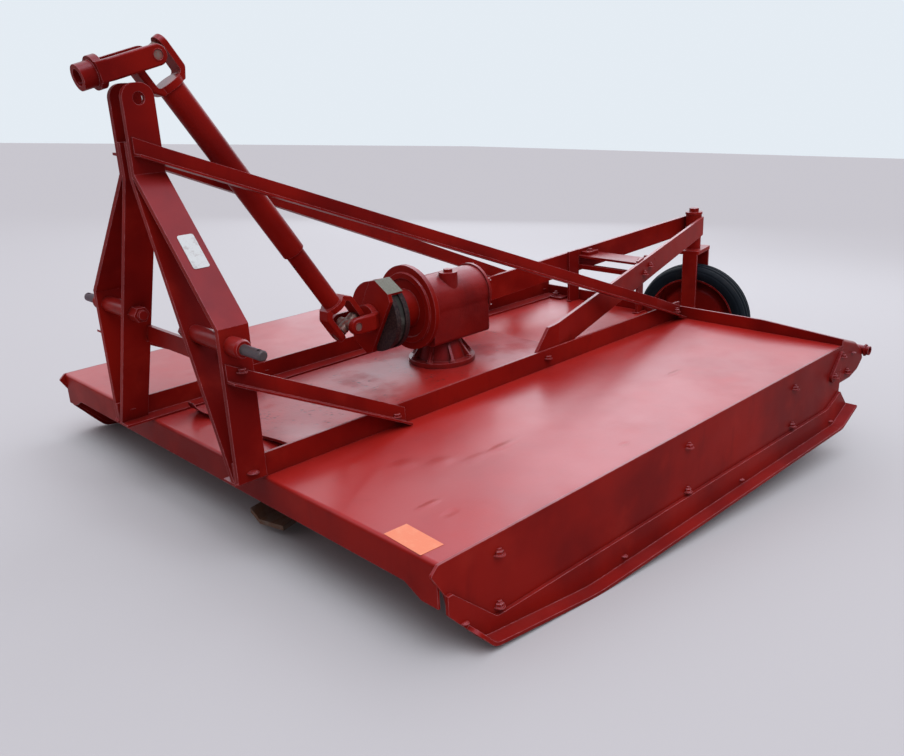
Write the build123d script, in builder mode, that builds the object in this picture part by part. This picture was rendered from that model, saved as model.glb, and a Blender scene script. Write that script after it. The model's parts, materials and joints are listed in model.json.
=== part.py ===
from build123d import *
from math import acos, asin, atan, atan2, cos, degrees, hypot, radians, sin, tan
import os

# A rotary brush cutter for a small tractor's three-point hitch, with its power shaft laid over the mast.
# It is laid out on a level deck, in millimetres: X forward from the deck's front edge, Y to the left of
# the middle, Z up from the deck's top. At the end every piece is set down as the machine parks, on the
# bend of its two skids and on the tail wheel, a little nose down.

# Deck and side skirts
deck_width = 1664
deck_length = 1626
deck_sheet = 5
lip_depth = 70
lip_corner_depth = 92
lip_corner_width = 90
lip_bend = 9
skirt_sheet = 6
skirt_depth = 232
skirt_curl = 18
skirt_curl_low = 16
skirt_corner = 12
gear_plate_length = 990
gear_plate_width = 430
gear_plate_sheet = 8
gear_plate_start = 110
gear_plate_corner = 12

# Skids of angle section: flat at the back, rising gently to a turned-up nose in front
skid_leg = 66
skid_flange = 40
skid_steel = 8
skid_drop = 240
skid_arc = 600
skid_nose_arc = 40
skid_heel_arc = 60
skid_nose = 12
skid_nose_top = 66
skid_nose_low = 106
skid_toe = 95
skid_toe_low = 199
skid_flat_start = 410
skid_heel = 42
skid_tail_reach = 48
skid_tail_low = 197
skid_tail_high = 140
skid_tail_cut = 54
skid_corner = 22

# Rear edge of the deck
stop_height = 38
stop_end_height = 20
stop_taper = 250
stop_steel = 6
hood_reach = 164
hood_drop = 123
hood_start_height = 24
hood_lap = 12
hood_sheet = 5
hood_bend = 14
hood_cheek = 14
hood_edge_round = 12
guard_pipe_radius = 14
guard_pipe_wall = 3
guard_pipe_overhang = 14

# Rails of angle section along the deck
rail_height = 54
rail_flange = 50
rail_steel = 6
rail_outside = 285
rail_overhang = 70

# Mast of flat bar
bar_width = 70
bar_steel = 12
mast_height = 816
mast_half_gap = 23
mast_straight = 181
mast_elbow = 346
mast_foot = 8
mast_top_radius = 30
top_pin_drop = 31
top_pin_back = 36
top_pin_bore = 13
inner_bar_short = 116
inner_bar_drop = 8
crossbar_depth = 42
crossbar_low = 224
crossbar_steel = 10

# Lower hitch pins
pin_height = 308
pin_back = 28
pin_radius = 11
pin_shoulder = 44.5
pin_reach = 70
pin_collar_radius = 20
pin_nut_radius = 19
pin_nut_length = 26
pin_thread_show = 8
pin_chamfer = 3
spacer_radius = 19
linch_hole_radius = 5
linch_hole_back = 13
hole_clearance = 0.2

# Braces of angle section
brace_leg = 36
brace_flange = 32
brace_steel = 5
long_brace_front = 64
long_brace_drop = 144
short_brace_front = 66
short_brace_height = 235
short_brace_back = 400
brace_lap = 60
brace_foot = 2
brace_inset = 5

# Tail arms, their posts and ties
arm_height = 86
arm_tail_height = 70
arm_steel = 10
arm_start = 722
arm_lap = 96
arm_front_low = 28
arm_front_cut = 53
arm_nose = 53
arm_rise = 0.105
arm_tail = 6
post_width = 46
post_steel = 8
post_inset = 54
post_stand = 4
tie_width = 92
tie_steel = 8
tie_height = 164
tie_bar_height = 131
tie_bar_depth = 16
tie_bar_width = 18
tie_gap = 1

# Tail pivot, fork and wheel
pivot_reach = 534
pivot_tube_radius = 30
pivot_tube_top = 250
pivot_tube_bottom = 118
pivot_pin_radius = 16
pivot_cap_radius = 32
pivot_cap_thick = 8
pivot_nut_radius = 19
pivot_nut_thick = 14
caster_trail = 15
parked_swivel = 78
fork_gap = 122
fork_leg_width = 56
fork_leg_steel = 10
fork_plate_width = 80
fork_plate_steel = 14
fork_plate_corner = 8
wheel_axle_drop = 170
wheel_radius = 225
wheel_crown = 90
tyre_width = 100
tyre_shoulder = 7
tyre_bulge_drop = 2
rim_radius = 172
rim_width = 84
rim_sheet = 6
rim_dish_outer = 144
rim_dish_inner = 120
rim_dish_offset = 12
wheel_hub_radius = 32
wheel_axle_radius = 12
wheel_axle_head = 20
hub_side_play = 3

# Gearbox
rotor_offset = 16
gear_axis_height = 190
gear_body_reach = 92
gear_body_length = 220
gear_body_radius = 77
gear_body_low = 78
gear_body_side = 75
gear_body_flat = 40
gear_body_corner = 12
gear_base_radius = 98
gear_base_thick = 14
gear_neck_foot = 74
gear_neck_radius = 54
gear_rib_count = 8
gear_rib_thick = 7
gear_rib_reach = 92
gear_rib_root = 6
gear_rib_toe = 5
gear_spigot_radius = 50
gear_spigot_drop = 30
spigot_clearance = 5
filler_radius = 27
filler_side = 40
filler_back = 3
filler_top = 275
filler_plug_height = 8
cap_radius = 82
cap_thick = 10
cap_dome = 15
cap_rim = 13
cap_round = 12

# Slip clutch on the input shaft
boss_radius = 62
boss_length = 15
flange_radius = 120
flange_thick = 18
flange_chamfer = 4
flange_ring_outer = 101
flange_ring_inner = 82
flange_ring_rise = 5
flange_ring_slope = 2
flange_hub_length = 72
flange_hub_radius = 50
disc_radius = 97
disc_thick = 15
disc_core_radius = 60
lining_radius = 92
lining_thick = 16
plate_half_width = 46
plate_half_length = 106
plate_end_width = 61
plate_thick = 12
plate_turn = 31
lug_steel = 8
lug_reach = 40

# Power shaft and its joints
lower_joint_ahead = 334
upper_joint_back = 30
upper_joint_side = 30
joint_over_mast = 52
yoke_web = 62
yoke_web_thick = 16
yoke_shoulder = 4
yoke_bend = 9
ear_inside = 34
ear_steel = 16
ear_radius = 22
ear_round = 5
cross_radius = 10
cross_block = 15
cross_sunk = 1
cross_play = 6
clutch_hub_radius = 38
shaft_yoke_radius = 33
inner_tube_radius = 24
inner_tube_wall = 5
outer_tube_radius = 29
outer_tube_start = 256
tube_overlap = 250
near_hole = 32
far_hole = 113
shaft_hole_radius = 5
tractor_yoke_web = 112
tractor_yoke_radius = 35
tractor_yoke_droop = 14
tractor_collar_radius = 27
tractor_collar_length = 34
tractor_lock_hole = 14
drive_bore_radius = 17.5

# Rotor and blades under the deck
output_shaft_radius = 20
output_shaft_depth = 40
rotor_hub_radius = 45
carrier_height = 150
carrier_width = 110
carrier_steel = 20
carrier_nut_radius = 34
blade_pivot = 300
blade_pin_radius = 16
blade_pin_head = 27
blade_tip = 762
blade_width = 76
blade_steel = 12
blade_wing = 24
blade_wing_length = 185
blade_start_angle = 14

# Fits between turning and sliding pieces, and where a round piece is welded to its seat
shaft_fit = 0.05
running_gap = 0.3
weld_gap = 0.1

os.makedirs("parts", exist_ok=True)
half_deck = deck_width / 2
skirt_inside = half_deck - skirt_sheet
rotor_back = deck_length / 2 - rotor_offset
pieces = []


def keep(block, label):
    block.part.label = label
    pieces.append(block.part)


def keep_both_sides(block, stem):
    keep(block, stem + "_left")
    with BuildPart() as twin:
        mirror(block.part, about=Plane.XZ)
    keep(twin, stem + "_right")


def strip(plan_line, width, side_outline, side):
    """A strip that follows a line in plan, on one side of it, and an outline in side view."""
    with BuildPart() as made:
        with BuildSketch(Plane.XY.offset(-skid_drop)):
            with BuildLine():
                Polyline(*plan_line)
                offset(amount=width, side=side, kind=Kind.INTERSECTION)
            make_face()
        extrude(amount=skid_drop + mast_height)
        with BuildSketch(Plane.XZ):
            with BuildLine():
                Polyline(*side_outline, close=True)
            make_face()
        extrude(amount=half_deck, both=True, mode=Mode.INTERSECT)
    return made.part


def rounded_outline(rows):
    """A closed outline from rows of two coordinates and the radius of the corner there."""
    return FilletPolyline(*(row[:2] for row in rows), radius=[row[2] for row in rows], close=True)


def band(front, back, height):
    """The four corners, in side view, of a straight strip of this height measured square to it."""
    upright = height * hypot(front[0] - back[0], front[1] - back[1]) / abs(front[0] - back[0])
    return [front, back, (back[0], back[1] + upright), (front[0], front[1] + upright)]


# Deck sheet with its front edge turned down, and a hole for the gearbox's spigot
spigot_hole = gear_spigot_radius + spigot_clearance
with BuildPart() as deck:
    with BuildSketch(Plane.XZ):
        with BuildLine():
            FilletPolyline((-deck_length, 0), (0, 0), (0, -lip_depth), radius=lip_bend)
            offset(amount=deck_sheet, side=Side.RIGHT)
        make_face()
    extrude(amount=skirt_inside, both=True)
    for hand in (1, -1):
        with BuildSketch(Plane.YZ):
            with BuildLine():
                Polyline(
                    (hand * (skirt_inside - lip_corner_width), -lip_depth),
                    (hand * (skirt_inside - lip_corner_width / 2), -lip_corner_depth),
                    (hand * skirt_inside, -lip_corner_depth),
                    (hand * skirt_inside, -lip_depth),
                    close=True,
                )
            make_face()
        extrude(amount=-deck_sheet)
    with Locations((-rotor_back, 0)):
        Hole(spigot_hole)
keep(deck, "deck")

# Doubler plate that carries the gearbox
with BuildPart() as gearbox_plate:
    with BuildSketch():
        with Locations((-gear_plate_start - gear_plate_length / 2, 0)):
            RectangleRounded(gear_plate_length, gear_plate_width, gear_plate_corner)
        with Locations((-rotor_back, 0)):
            Circle(spigot_hole, mode=Mode.SUBTRACT)
    extrude(amount=gear_plate_sheet)
keep(gearbox_plate, "gearbox_plate")

# Side skirts with a forward curl at the top of the nose; columns: X, Z, radius of the corner
skirt_foot = skid_drop - skirt_depth
skirt_rows = (
    (-deck_length, 0, 0),
    (0, 0, skirt_corner / 4),
    (skirt_curl, -skirt_curl_low, skirt_corner / 2),
    (-skid_nose, -skid_nose_top, 2 * skirt_corner),
    (-skid_nose - skirt_foot, -skid_nose_low, skirt_corner),
    (-skid_toe - skirt_foot, -skid_toe_low + skirt_foot, skid_nose_arc),
    (-skid_flat_start, -skirt_depth, skid_arc),
    (-deck_length + skid_heel, -skirt_depth, 2 * skirt_corner),
    (-deck_length, -skirt_depth + skid_heel, skirt_corner),
)
with BuildPart() as side_skirt:
    with BuildSketch(Plane.XZ.offset(-half_deck)):
        with BuildLine():
            rounded_outline(skirt_rows)
        make_face()
    extrude(amount=skirt_sheet)
keep_both_sides(side_skirt, "side_skirt")

# Skids: an upright leg against the skirt and a flange turned outward along its foot.
# Columns of the rows: X, Z, radius of the corner
skid_foot = (
    (-skid_toe, -skid_toe_low, skid_nose_arc),
    (-skid_flat_start, -skid_drop, skid_arc),
    (-deck_length + skid_heel, -skid_drop, skid_heel_arc),
    (-deck_length - skid_tail_reach, -skid_tail_low, 0),
)
skid_leg_rows = (
    (-skid_nose, -skid_nose_top, 0),
    (-skid_nose, -skid_nose_low, skid_nose_arc / 4),
    *skid_foot,
    (-deck_length - skid_tail_reach + skid_tail_cut, -skid_tail_high, 0),
    (-deck_length + 2 * skid_heel, skid_leg - skid_drop, skid_nose_arc),
    (-skid_toe - skid_nose_arc, -skid_toe_low + skid_leg / 2, skid_nose_arc / 2),
    (-2 * skid_nose, -skid_nose_top, 0),
)
skid_nose_middle = (-(skid_nose + skid_toe) / 2, -(skid_nose_low + skid_toe_low) / 2)
with BuildPart() as skid:
    with BuildSketch(Plane.XZ.offset(-half_deck)):
        with BuildLine():
            rounded_outline(skid_leg_rows)
        make_face()
    extrude(amount=-skid_steel)
    with BuildSketch(Plane.XZ.offset(-half_deck)):
        with BuildLine():
            FilletPolyline(
                skid_nose_middle,
                *(row[:2] for row in skid_foot),
                radius=[row[2] for row in skid_foot[:-1]],
            )
            offset(amount=skid_steel, side=Side.RIGHT)
        make_face()
    extrude(amount=-skid_flange)
    flange_edges = skid.edges().filter_by_position(
        Axis.Y, half_deck + skid_flange - 1, half_deck + skid_flange + 1
    )
    fillet(flange_edges.sort_by(Axis.X)[-1], skid_corner)
keep_both_sides(skid, "skid")

# Upright strip along the rear edge, tapered to its ends
with BuildPart() as rear_stop:
    with BuildSketch(Plane.YZ.offset(-deck_length)):
        with BuildLine():
            Polyline(
                (-half_deck, 0),
                (half_deck, 0),
                (half_deck, stop_end_height),
                (half_deck - stop_taper, stop_height),
                (-half_deck + stop_taper, stop_height),
                (-half_deck, stop_end_height),
                close=True,
            )
        make_face()
    extrude(amount=stop_steel)
keep(rear_stop, "rear_stop")

# Rear hood: one bent sheet from the stop down to its lower edge, closed by a rounded cheek at each side.
# Columns of its bends: share of the hood's reach, share of its drop
hood_shares = (
    (0.63, 0.11),
    (0.89, 0.36),
    (1.0, 0.64),
    (0.77, 0.89),
    (0.47, 1.0),
)
hood_line = [
    (-deck_length + hood_lap, hood_start_height),
    *((-deck_length - reach * hood_reach, -drop * hood_drop) for reach, drop in hood_shares),
]
hood_bends = [3 * hood_bend, 2 * hood_bend, hood_bend, hood_bend]
with BuildPart() as rear_hood:
    with BuildSketch(Plane.XZ):
        with BuildLine():
            FilletPolyline(*hood_line, radius=hood_bends)
            offset(amount=hood_sheet, side=Side.LEFT)
        make_face()
    extrude(amount=half_deck - hood_cheek, both=True)
    for end in (half_deck, -half_deck + hood_cheek):
        with BuildSketch(Plane.XZ.offset(-end)):
            with BuildLine():
                FilletPolyline(
                    *hood_line,
                    (-deck_length + hood_lap, -hood_drop),
                    radius=[0, *hood_bends, 0, 0],
                    close=True,
                )
            make_face()
        extrude(amount=hood_cheek)
    split(bisect_by=Plane.YZ.offset(-deck_length), keep=Keep.BOTTOM)
    for end in (half_deck, -half_deck):
        rim = rear_hood.edges().filter_by_position(Axis.Y, end - 1, end + 1)
        fillet(rim.filter_by_position(Axis.X, -2 * deck_length, -deck_length - 1), hood_edge_round)
keep(rear_hood, "rear_hood")

# Guard pipe, open at both ends, seated on the hood's steepest face
seat_high = Vector(*hood_line[2])
seat_low = Vector(*hood_line[3])
seat_way = (seat_low - seat_high).normalized()
pipe_centre = (seat_high + seat_low) / 2 + Vector(seat_way.Y, -seat_way.X) * (guard_pipe_radius + weld_gap)
with BuildPart() as guard_pipe:
    with BuildSketch(Plane.XZ):
        with Locations(pipe_centre):
            Circle(guard_pipe_radius)
            Circle(guard_pipe_radius - guard_pipe_wall, mode=Mode.SUBTRACT)
    extrude(amount=half_deck + guard_pipe_overhang, both=True)
keep(guard_pipe, "guard_pipe")

# Rails: an upright leg outside and a flange lying inward on the deck
rail_inside = rail_outside - rail_flange
rail_web = rail_outside - rail_steel
with BuildPart() as rail:
    with BuildSketch(Plane.YZ.offset(-deck_length + stop_steel)):
        with BuildLine():
            Polyline(
                (rail_inside, 0),
                (rail_outside, 0),
                (rail_outside, rail_height),
                (rail_web, rail_height),
                (rail_web, rail_steel),
                (rail_inside, rail_steel),
                close=True,
            )
        make_face()
    extrude(amount=deck_length - stop_steel + rail_overhang)
keep_both_sides(rail, "rail")

# Outer bars of the mast: bent out at the shoulder and down again outside the rails
mast_shoulder = mast_height - mast_straight
bar_back = rail_overhang - bar_width
bar_outside = rail_outside + bar_steel
mast_outside = mast_half_gap + bar_steel
pin_bore = pin_radius + hole_clearance
pin_x = rail_overhang - pin_back
with BuildPart() as mast_outer:
    with BuildSketch(Plane.YZ.offset(bar_back)):
        with BuildLine():
            Polyline(
                (mast_outside, mast_height),
                (mast_outside, mast_shoulder),
                (bar_outside, mast_elbow),
                (bar_outside, mast_foot),
            )
            offset(amount=bar_steel, side=Side.RIGHT, kind=Kind.INTERSECTION)
        make_face()
    extrude(amount=bar_width)
    fillet(mast_outer.edges().filter_by(Axis.Y).group_by(Axis.Z)[-1], mast_top_radius)
    with BuildSketch(Plane.XZ):
        with Locations((rail_overhang - top_pin_back, mast_height - top_pin_drop)):
            Circle(top_pin_bore)
        with Locations((pin_x, pin_height)):
            Circle(pin_bore)
    extrude(amount=-half_deck, mode=Mode.SUBTRACT)
keep_both_sides(mast_outer, "mast_outer")

# Inner bars of the mast: from between the outer bars down to the rails' flanges
inner_bar_bend = mast_shoulder - inner_bar_drop
inner_run = inner_bar_bend - rail_steel
inner_spread = rail_web - mast_half_gap
inner_slope = inner_spread / inner_run
inner_normal = Vector(0, inner_run, inner_spread).normalized()
inner_foot = Vector(0, rail_web, rail_steel)
outward_face = Plane(origin=inner_foot, x_dir=(1, 0, 0), z_dir=inner_normal)
inward_face = outward_face.offset(-bar_steel)
with BuildPart() as mast_inner:
    with BuildSketch(Plane.YZ.offset(bar_back)):
        with BuildLine():
            Polyline(
                (mast_half_gap, mast_height - inner_bar_short),
                (mast_half_gap, inner_bar_bend),
                (rail_web + inner_slope * rail_height, rail_steel - rail_height),
            )
            offset(amount=bar_steel, side=Side.RIGHT, kind=Kind.INTERSECTION)
        make_face()
    extrude(amount=bar_width)
    split(bisect_by=Plane.XY.offset(rail_steel), keep=Keep.TOP)
    with BuildSketch(Plane.XZ):
        with Locations((pin_x, pin_height)):
            Circle(pin_bore)
    extrude(amount=-half_deck, mode=Mode.SUBTRACT)
keep_both_sides(mast_inner, "mast_inner")

# Crossbar between the rear edges of the inner bars
with BuildPart() as crossbar:
    with Locations((bar_back + crossbar_steel / 2, 0, crossbar_low)):
        Box(
            crossbar_steel,
            2 * rail_outside,
            crossbar_depth,
            align=(Align.CENTER, Align.CENTER, Align.MIN),
        )
    split(bisect_by=inward_face, keep=Keep.BOTTOM)
    split(
        bisect_by=Plane(
            origin=(0, -inward_face.origin.Y, inward_face.origin.Z),
            x_dir=(1, 0, 0),
            z_dir=(0, -inner_normal.Y, inner_normal.Z),
        ),
        keep=Keep.BOTTOM,
    )
keep(crossbar, "mast_crossbar")

# Lower hitch pins, shouldered outside the mast and held by a nut inside the inner bar
pin_face_y = bar_outside + pin_shoulder
pin_tip_y = pin_face_y + pin_reach
nut_y = rail_web - inner_slope * (pin_height - rail_steel) - 2 * bar_steel - pin_nut_length
pin_axis = Axis((pin_x, 0, pin_height), (0, 1, 0))
pin_side = Plane(origin=(pin_x, 0, pin_height), x_dir=(0, 1, 0), z_dir=(1, 0, 0))
pin_end = Plane(origin=(pin_x, nut_y, pin_height), x_dir=(1, 0, 0), z_dir=(0, 1, 0))
with BuildPart() as hitch_pin:
    with BuildSketch(pin_end):
        RegularPolygon(pin_nut_radius, 6)
    extrude(amount=4 * bar_steel + pin_nut_length)
    split(bisect_by=inward_face, keep=Keep.BOTTOM)
    with BuildSketch(pin_side):
        with BuildLine():
            Polyline(
                (nut_y - pin_thread_show, 0),
                (nut_y - pin_thread_show, pin_radius),
                (bar_outside, pin_radius),
                (bar_outside, pin_collar_radius),
                (pin_face_y - 2 * pin_chamfer, pin_collar_radius),
                (pin_face_y, pin_collar_radius - pin_chamfer),
                (pin_face_y, pin_radius),
                (pin_tip_y - pin_chamfer, pin_radius),
                (pin_tip_y, pin_radius - pin_chamfer),
                (pin_tip_y, 0),
                close=True,
            )
        make_face()
    revolve(axis=pin_axis)
    with Locations((pin_x, pin_tip_y - linch_hole_back, pin_height)):
        Cylinder(linch_hole_radius, 4 * pin_radius, mode=Mode.SUBTRACT)
keep_both_sides(hitch_pin, "hitch_pin")

# Spacer tubes round the pins, between the inner and the outer bars
with BuildPart() as pin_spacer:
    with BuildSketch(pin_end):
        Circle(spacer_radius)
        Circle(pin_bore, mode=Mode.SUBTRACT)
    extrude(amount=rail_outside - nut_y)
    split(bisect_by=outward_face, keep=Keep.TOP)
keep_both_sides(pin_spacer, "pin_spacer")

# Long braces, from the top of the mast down to the rear of the rails
brace_end = -deck_length + stop_steel + brace_inset
long_brace_height = mast_height - long_brace_drop
long_ends = ((long_brace_front, long_brace_height), (brace_end, brace_foot))
long_slope = (long_brace_height - brace_foot) / (long_brace_front - brace_end)
long_line = [
    (long_brace_front, mast_outside),
    (bar_back, mast_outside),
    (brace_end + rail_height / long_slope, rail_outside),
    (brace_end, rail_outside),
]
with BuildPart() as long_brace:
    add(strip(long_line, brace_steel, band(*long_ends, brace_leg), Side.RIGHT))
    add(strip(long_line, brace_flange, band(*long_ends, brace_steel), Side.RIGHT))
keep_both_sides(long_brace, "long_brace")

# Short braces, from above the lower pins down to the rails
short_line = [
    (short_brace_front, bar_outside),
    (bar_back, bar_outside),
    (-short_brace_back + brace_lap, rail_outside),
    (-short_brace_back, rail_outside),
]
short_ends = ((short_brace_front, short_brace_height), (-short_brace_back, brace_foot))
with BuildPart() as short_brace:
    add(strip(short_line, brace_steel, band(*short_ends, brace_leg), Side.RIGHT))
    add(strip(short_line, brace_flange, band(*short_ends, brace_steel), Side.RIGHT))
keep_both_sides(short_brace, "short_brace")

# Tail arms: flat bars from inside the rails, drawn together to the sides of the pivot tube
pivot_back = deck_length + pivot_reach
arm_front = deck_length - arm_start
arm_bend = (-arm_front - arm_lap, rail_web)
arm_reach = hypot(pivot_back + arm_bend[0], rail_web)
tube_side = pivot_tube_radius + weld_gap
arm_turn = atan2(rail_web, pivot_back + arm_bend[0]) - asin((tube_side + arm_steel) / arm_reach)
arm_end_x = -pivot_back - arm_tail
arm_nose_x = -arm_front - arm_nose


def arm_y(x, inward=0):
    """Y of the left arm's outer face, or of a plane this far inside it."""
    return rail_web - (arm_bend[0] - x) * tan(arm_turn) - inward / cos(arm_turn)


def arm_top(x):
    return arm_front_low + arm_height + (arm_nose_x - x) * arm_rise


arm_outline = [
    (-arm_front, arm_front_low),
    (-arm_front, arm_front_cut),
    (arm_nose_x, arm_top(arm_nose_x)),
    (arm_end_x, arm_top(arm_end_x)),
    (arm_end_x, arm_top(arm_end_x) - arm_tail_height),
    (arm_nose_x, arm_front_low),
]
arm_line = [(-arm_front, rail_web), arm_bend, (arm_end_x, arm_y(arm_end_x))]
with BuildPart() as tail_arm:
    add(strip(arm_line, arm_steel, arm_outline, Side.LEFT))
keep_both_sides(tail_arm, "tail_arm")

# Posts that hold the arms up from the deck
post_front = deck_length - post_inset
post_back = -post_front - post_width
post_line = [(-post_front, arm_y(-post_front, arm_steel)), (post_back, arm_y(post_back, arm_steel))]
post_outline = [
    (-post_front, 0),
    (post_back, 0),
    (post_back, arm_top(post_back) + post_stand),
    (-post_front, arm_top(-post_front) + post_stand),
]
with BuildPart() as tail_post:
    add(strip(post_line, post_steel, post_outline, Side.LEFT))
keep_both_sides(tail_post, "tail_post")

# Flat tie and lower tie bar between the arms
tie_front = post_back - tie_gap
for label, top, thick, width in (
    ("tail_tie", tie_height, tie_steel, tie_width),
    ("tail_tie_bar", tie_bar_height, tie_bar_depth, tie_bar_width),
):
    tie_rear = tie_front - width
    with BuildPart() as tie:
        with BuildSketch(Plane.XY.offset(top - thick)):
            with BuildLine():
                Polyline(
                    (tie_front, arm_y(tie_front, arm_steel)),
                    (tie_rear, arm_y(tie_rear, arm_steel)),
                    (tie_rear, -arm_y(tie_rear, arm_steel)),
                    (tie_front, -arm_y(tie_front, arm_steel)),
                    close=True,
                )
            make_face()
        extrude(amount=thick)
    keep(tie, label)

# Pivot tube at the end of the arms
pivot_at = (-pivot_back, 0)
with BuildPart() as pivot_tube:
    with BuildSketch(Plane.XY.offset(pivot_tube_bottom)):
        with Locations(pivot_at):
            Circle(pivot_tube_radius)
            Circle(pivot_pin_radius + shaft_fit, mode=Mode.SUBTRACT)
    extrude(amount=pivot_tube_top - pivot_tube_bottom)
keep(pivot_tube, "tail_pivot_tube")

# Swivelling fork, left turned to the side as it parks; its own X runs forward when the wheel trails
swivel = radians(-parked_swivel)
caster = Plane(origin=(-pivot_back, 0, 0), x_dir=(cos(swivel), sin(swivel), 0), z_dir=(0, 0, 1))
caster_side = Plane(origin=caster.origin, x_dir=caster.x_dir, z_dir=-caster.y_dir)
fork_top = pivot_tube_bottom - running_gap
fork_half = fork_gap / 2 + fork_leg_steel
axle_bore = wheel_axle_radius + hole_clearance
with BuildPart() as tail_fork:
    with BuildSketch(caster.offset(fork_top - fork_plate_steel)):
        with Locations((-caster_trail / 2, 0)):
            RectangleRounded(fork_plate_width, 2 * fork_half, fork_plate_corner)
    extrude(amount=fork_plate_steel)
    for hand in (1, -1):
        with BuildSketch(caster_side.offset(-hand * fork_half)):
            with Locations((-caster_trail, (fork_top - fork_plate_steel - wheel_axle_drop) / 2)):
                Rectangle(fork_leg_width, fork_top - fork_plate_steel + wheel_axle_drop)
            with Locations((-caster_trail, -wheel_axle_drop)):
                Circle(fork_leg_width / 2)
                Circle(axle_bore, mode=Mode.SUBTRACT)
        extrude(amount=hand * fork_leg_steel)
    with BuildSketch(caster.offset(fork_top)):
        Circle(pivot_pin_radius)
    extrude(amount=pivot_tube_top - fork_top + fork_plate_steel)
    with BuildSketch(caster.offset(pivot_tube_top + running_gap)):
        Circle(pivot_cap_radius)
    extrude(amount=pivot_cap_thick)
    with BuildSketch(caster.offset(pivot_tube_top + running_gap + pivot_cap_thick)):
        RegularPolygon(pivot_nut_radius, 6)
    extrude(amount=pivot_nut_thick)
keep(tail_fork, "tail_fork")

# Wheel axle: a bolt through both legs
wheel_centre = caster.from_local_coords(Vector(-caster_trail, 0, -wheel_axle_drop))
axle_end = Plane(origin=wheel_centre, x_dir=caster.x_dir, z_dir=caster.y_dir)
with BuildPart() as tail_axle:
    with BuildSketch(axle_end.offset(-fork_half)):
        Circle(wheel_axle_radius)
    extrude(amount=2 * fork_half)
    for hand in (1, -1):
        with BuildSketch(axle_end.offset(hand * fork_half)):
            RegularPolygon(wheel_axle_head, 6)
        extrude(amount=hand * wheel_axle_radius)
keep(tail_axle, "tail_axle")

# Rim with a dished disc and a hub tube
wheel_section = Plane(origin=wheel_centre, x_dir=caster.y_dir, z_dir=caster.x_dir)
wheel_axis = Axis(wheel_centre, caster.y_dir)
half_rim = rim_width / 2
half_hub = fork_gap / 2 - hub_side_play
with BuildPart() as tail_rim:
    with BuildSketch(wheel_section):
        with Locations((0, rim_radius - rim_sheet / 2)):
            Rectangle(rim_width, rim_sheet)
        with Locations((0, (wheel_hub_radius + wheel_axle_radius + shaft_fit) / 2)):
            Rectangle(2 * half_hub, wheel_hub_radius - wheel_axle_radius - shaft_fit)
        with BuildLine():
            FilletPolyline(
                (-half_rim / 2, rim_radius - rim_sheet / 2),
                (-half_rim / 2, rim_dish_outer),
                (rim_dish_offset, rim_dish_inner),
                (rim_dish_offset, wheel_hub_radius - rim_sheet),
                radius=3 * rim_sheet,
            )
            offset(amount=rim_sheet, side=Side.LEFT)
        make_face()
    revolve(axis=wheel_axis)
keep(tail_rim, "tail_rim")

# Smooth tyre with a crowned tread
half_tyre = tyre_width / 2
crown_edge = half_tyre - tyre_shoulder
crown_drop = wheel_crown - (wheel_crown**2 - crown_edge**2) ** 0.5
bead = rim_radius + running_gap
with BuildPart() as tail_tyre:
    with BuildSketch(wheel_section):
        with BuildLine():
            ThreePointArc(
                (-crown_edge, wheel_radius - crown_drop),
                (0, wheel_radius),
                (crown_edge, wheel_radius - crown_drop),
            )
            ThreePointArc(
                (crown_edge, wheel_radius - crown_drop),
                (half_tyre, (wheel_radius + bead) / 2 - tyre_bulge_drop),
                (half_rim, bead),
            )
            Line((half_rim, bead), (-half_rim, bead))
            ThreePointArc(
                (-half_rim, bead),
                (-half_tyre, (wheel_radius + bead) / 2 - tyre_bulge_drop),
                (-crown_edge, wheel_radius - crown_drop),
            )
        make_face()
    revolve(axis=wheel_axis)
keep(tail_tyre, "tail_tyre")

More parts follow.
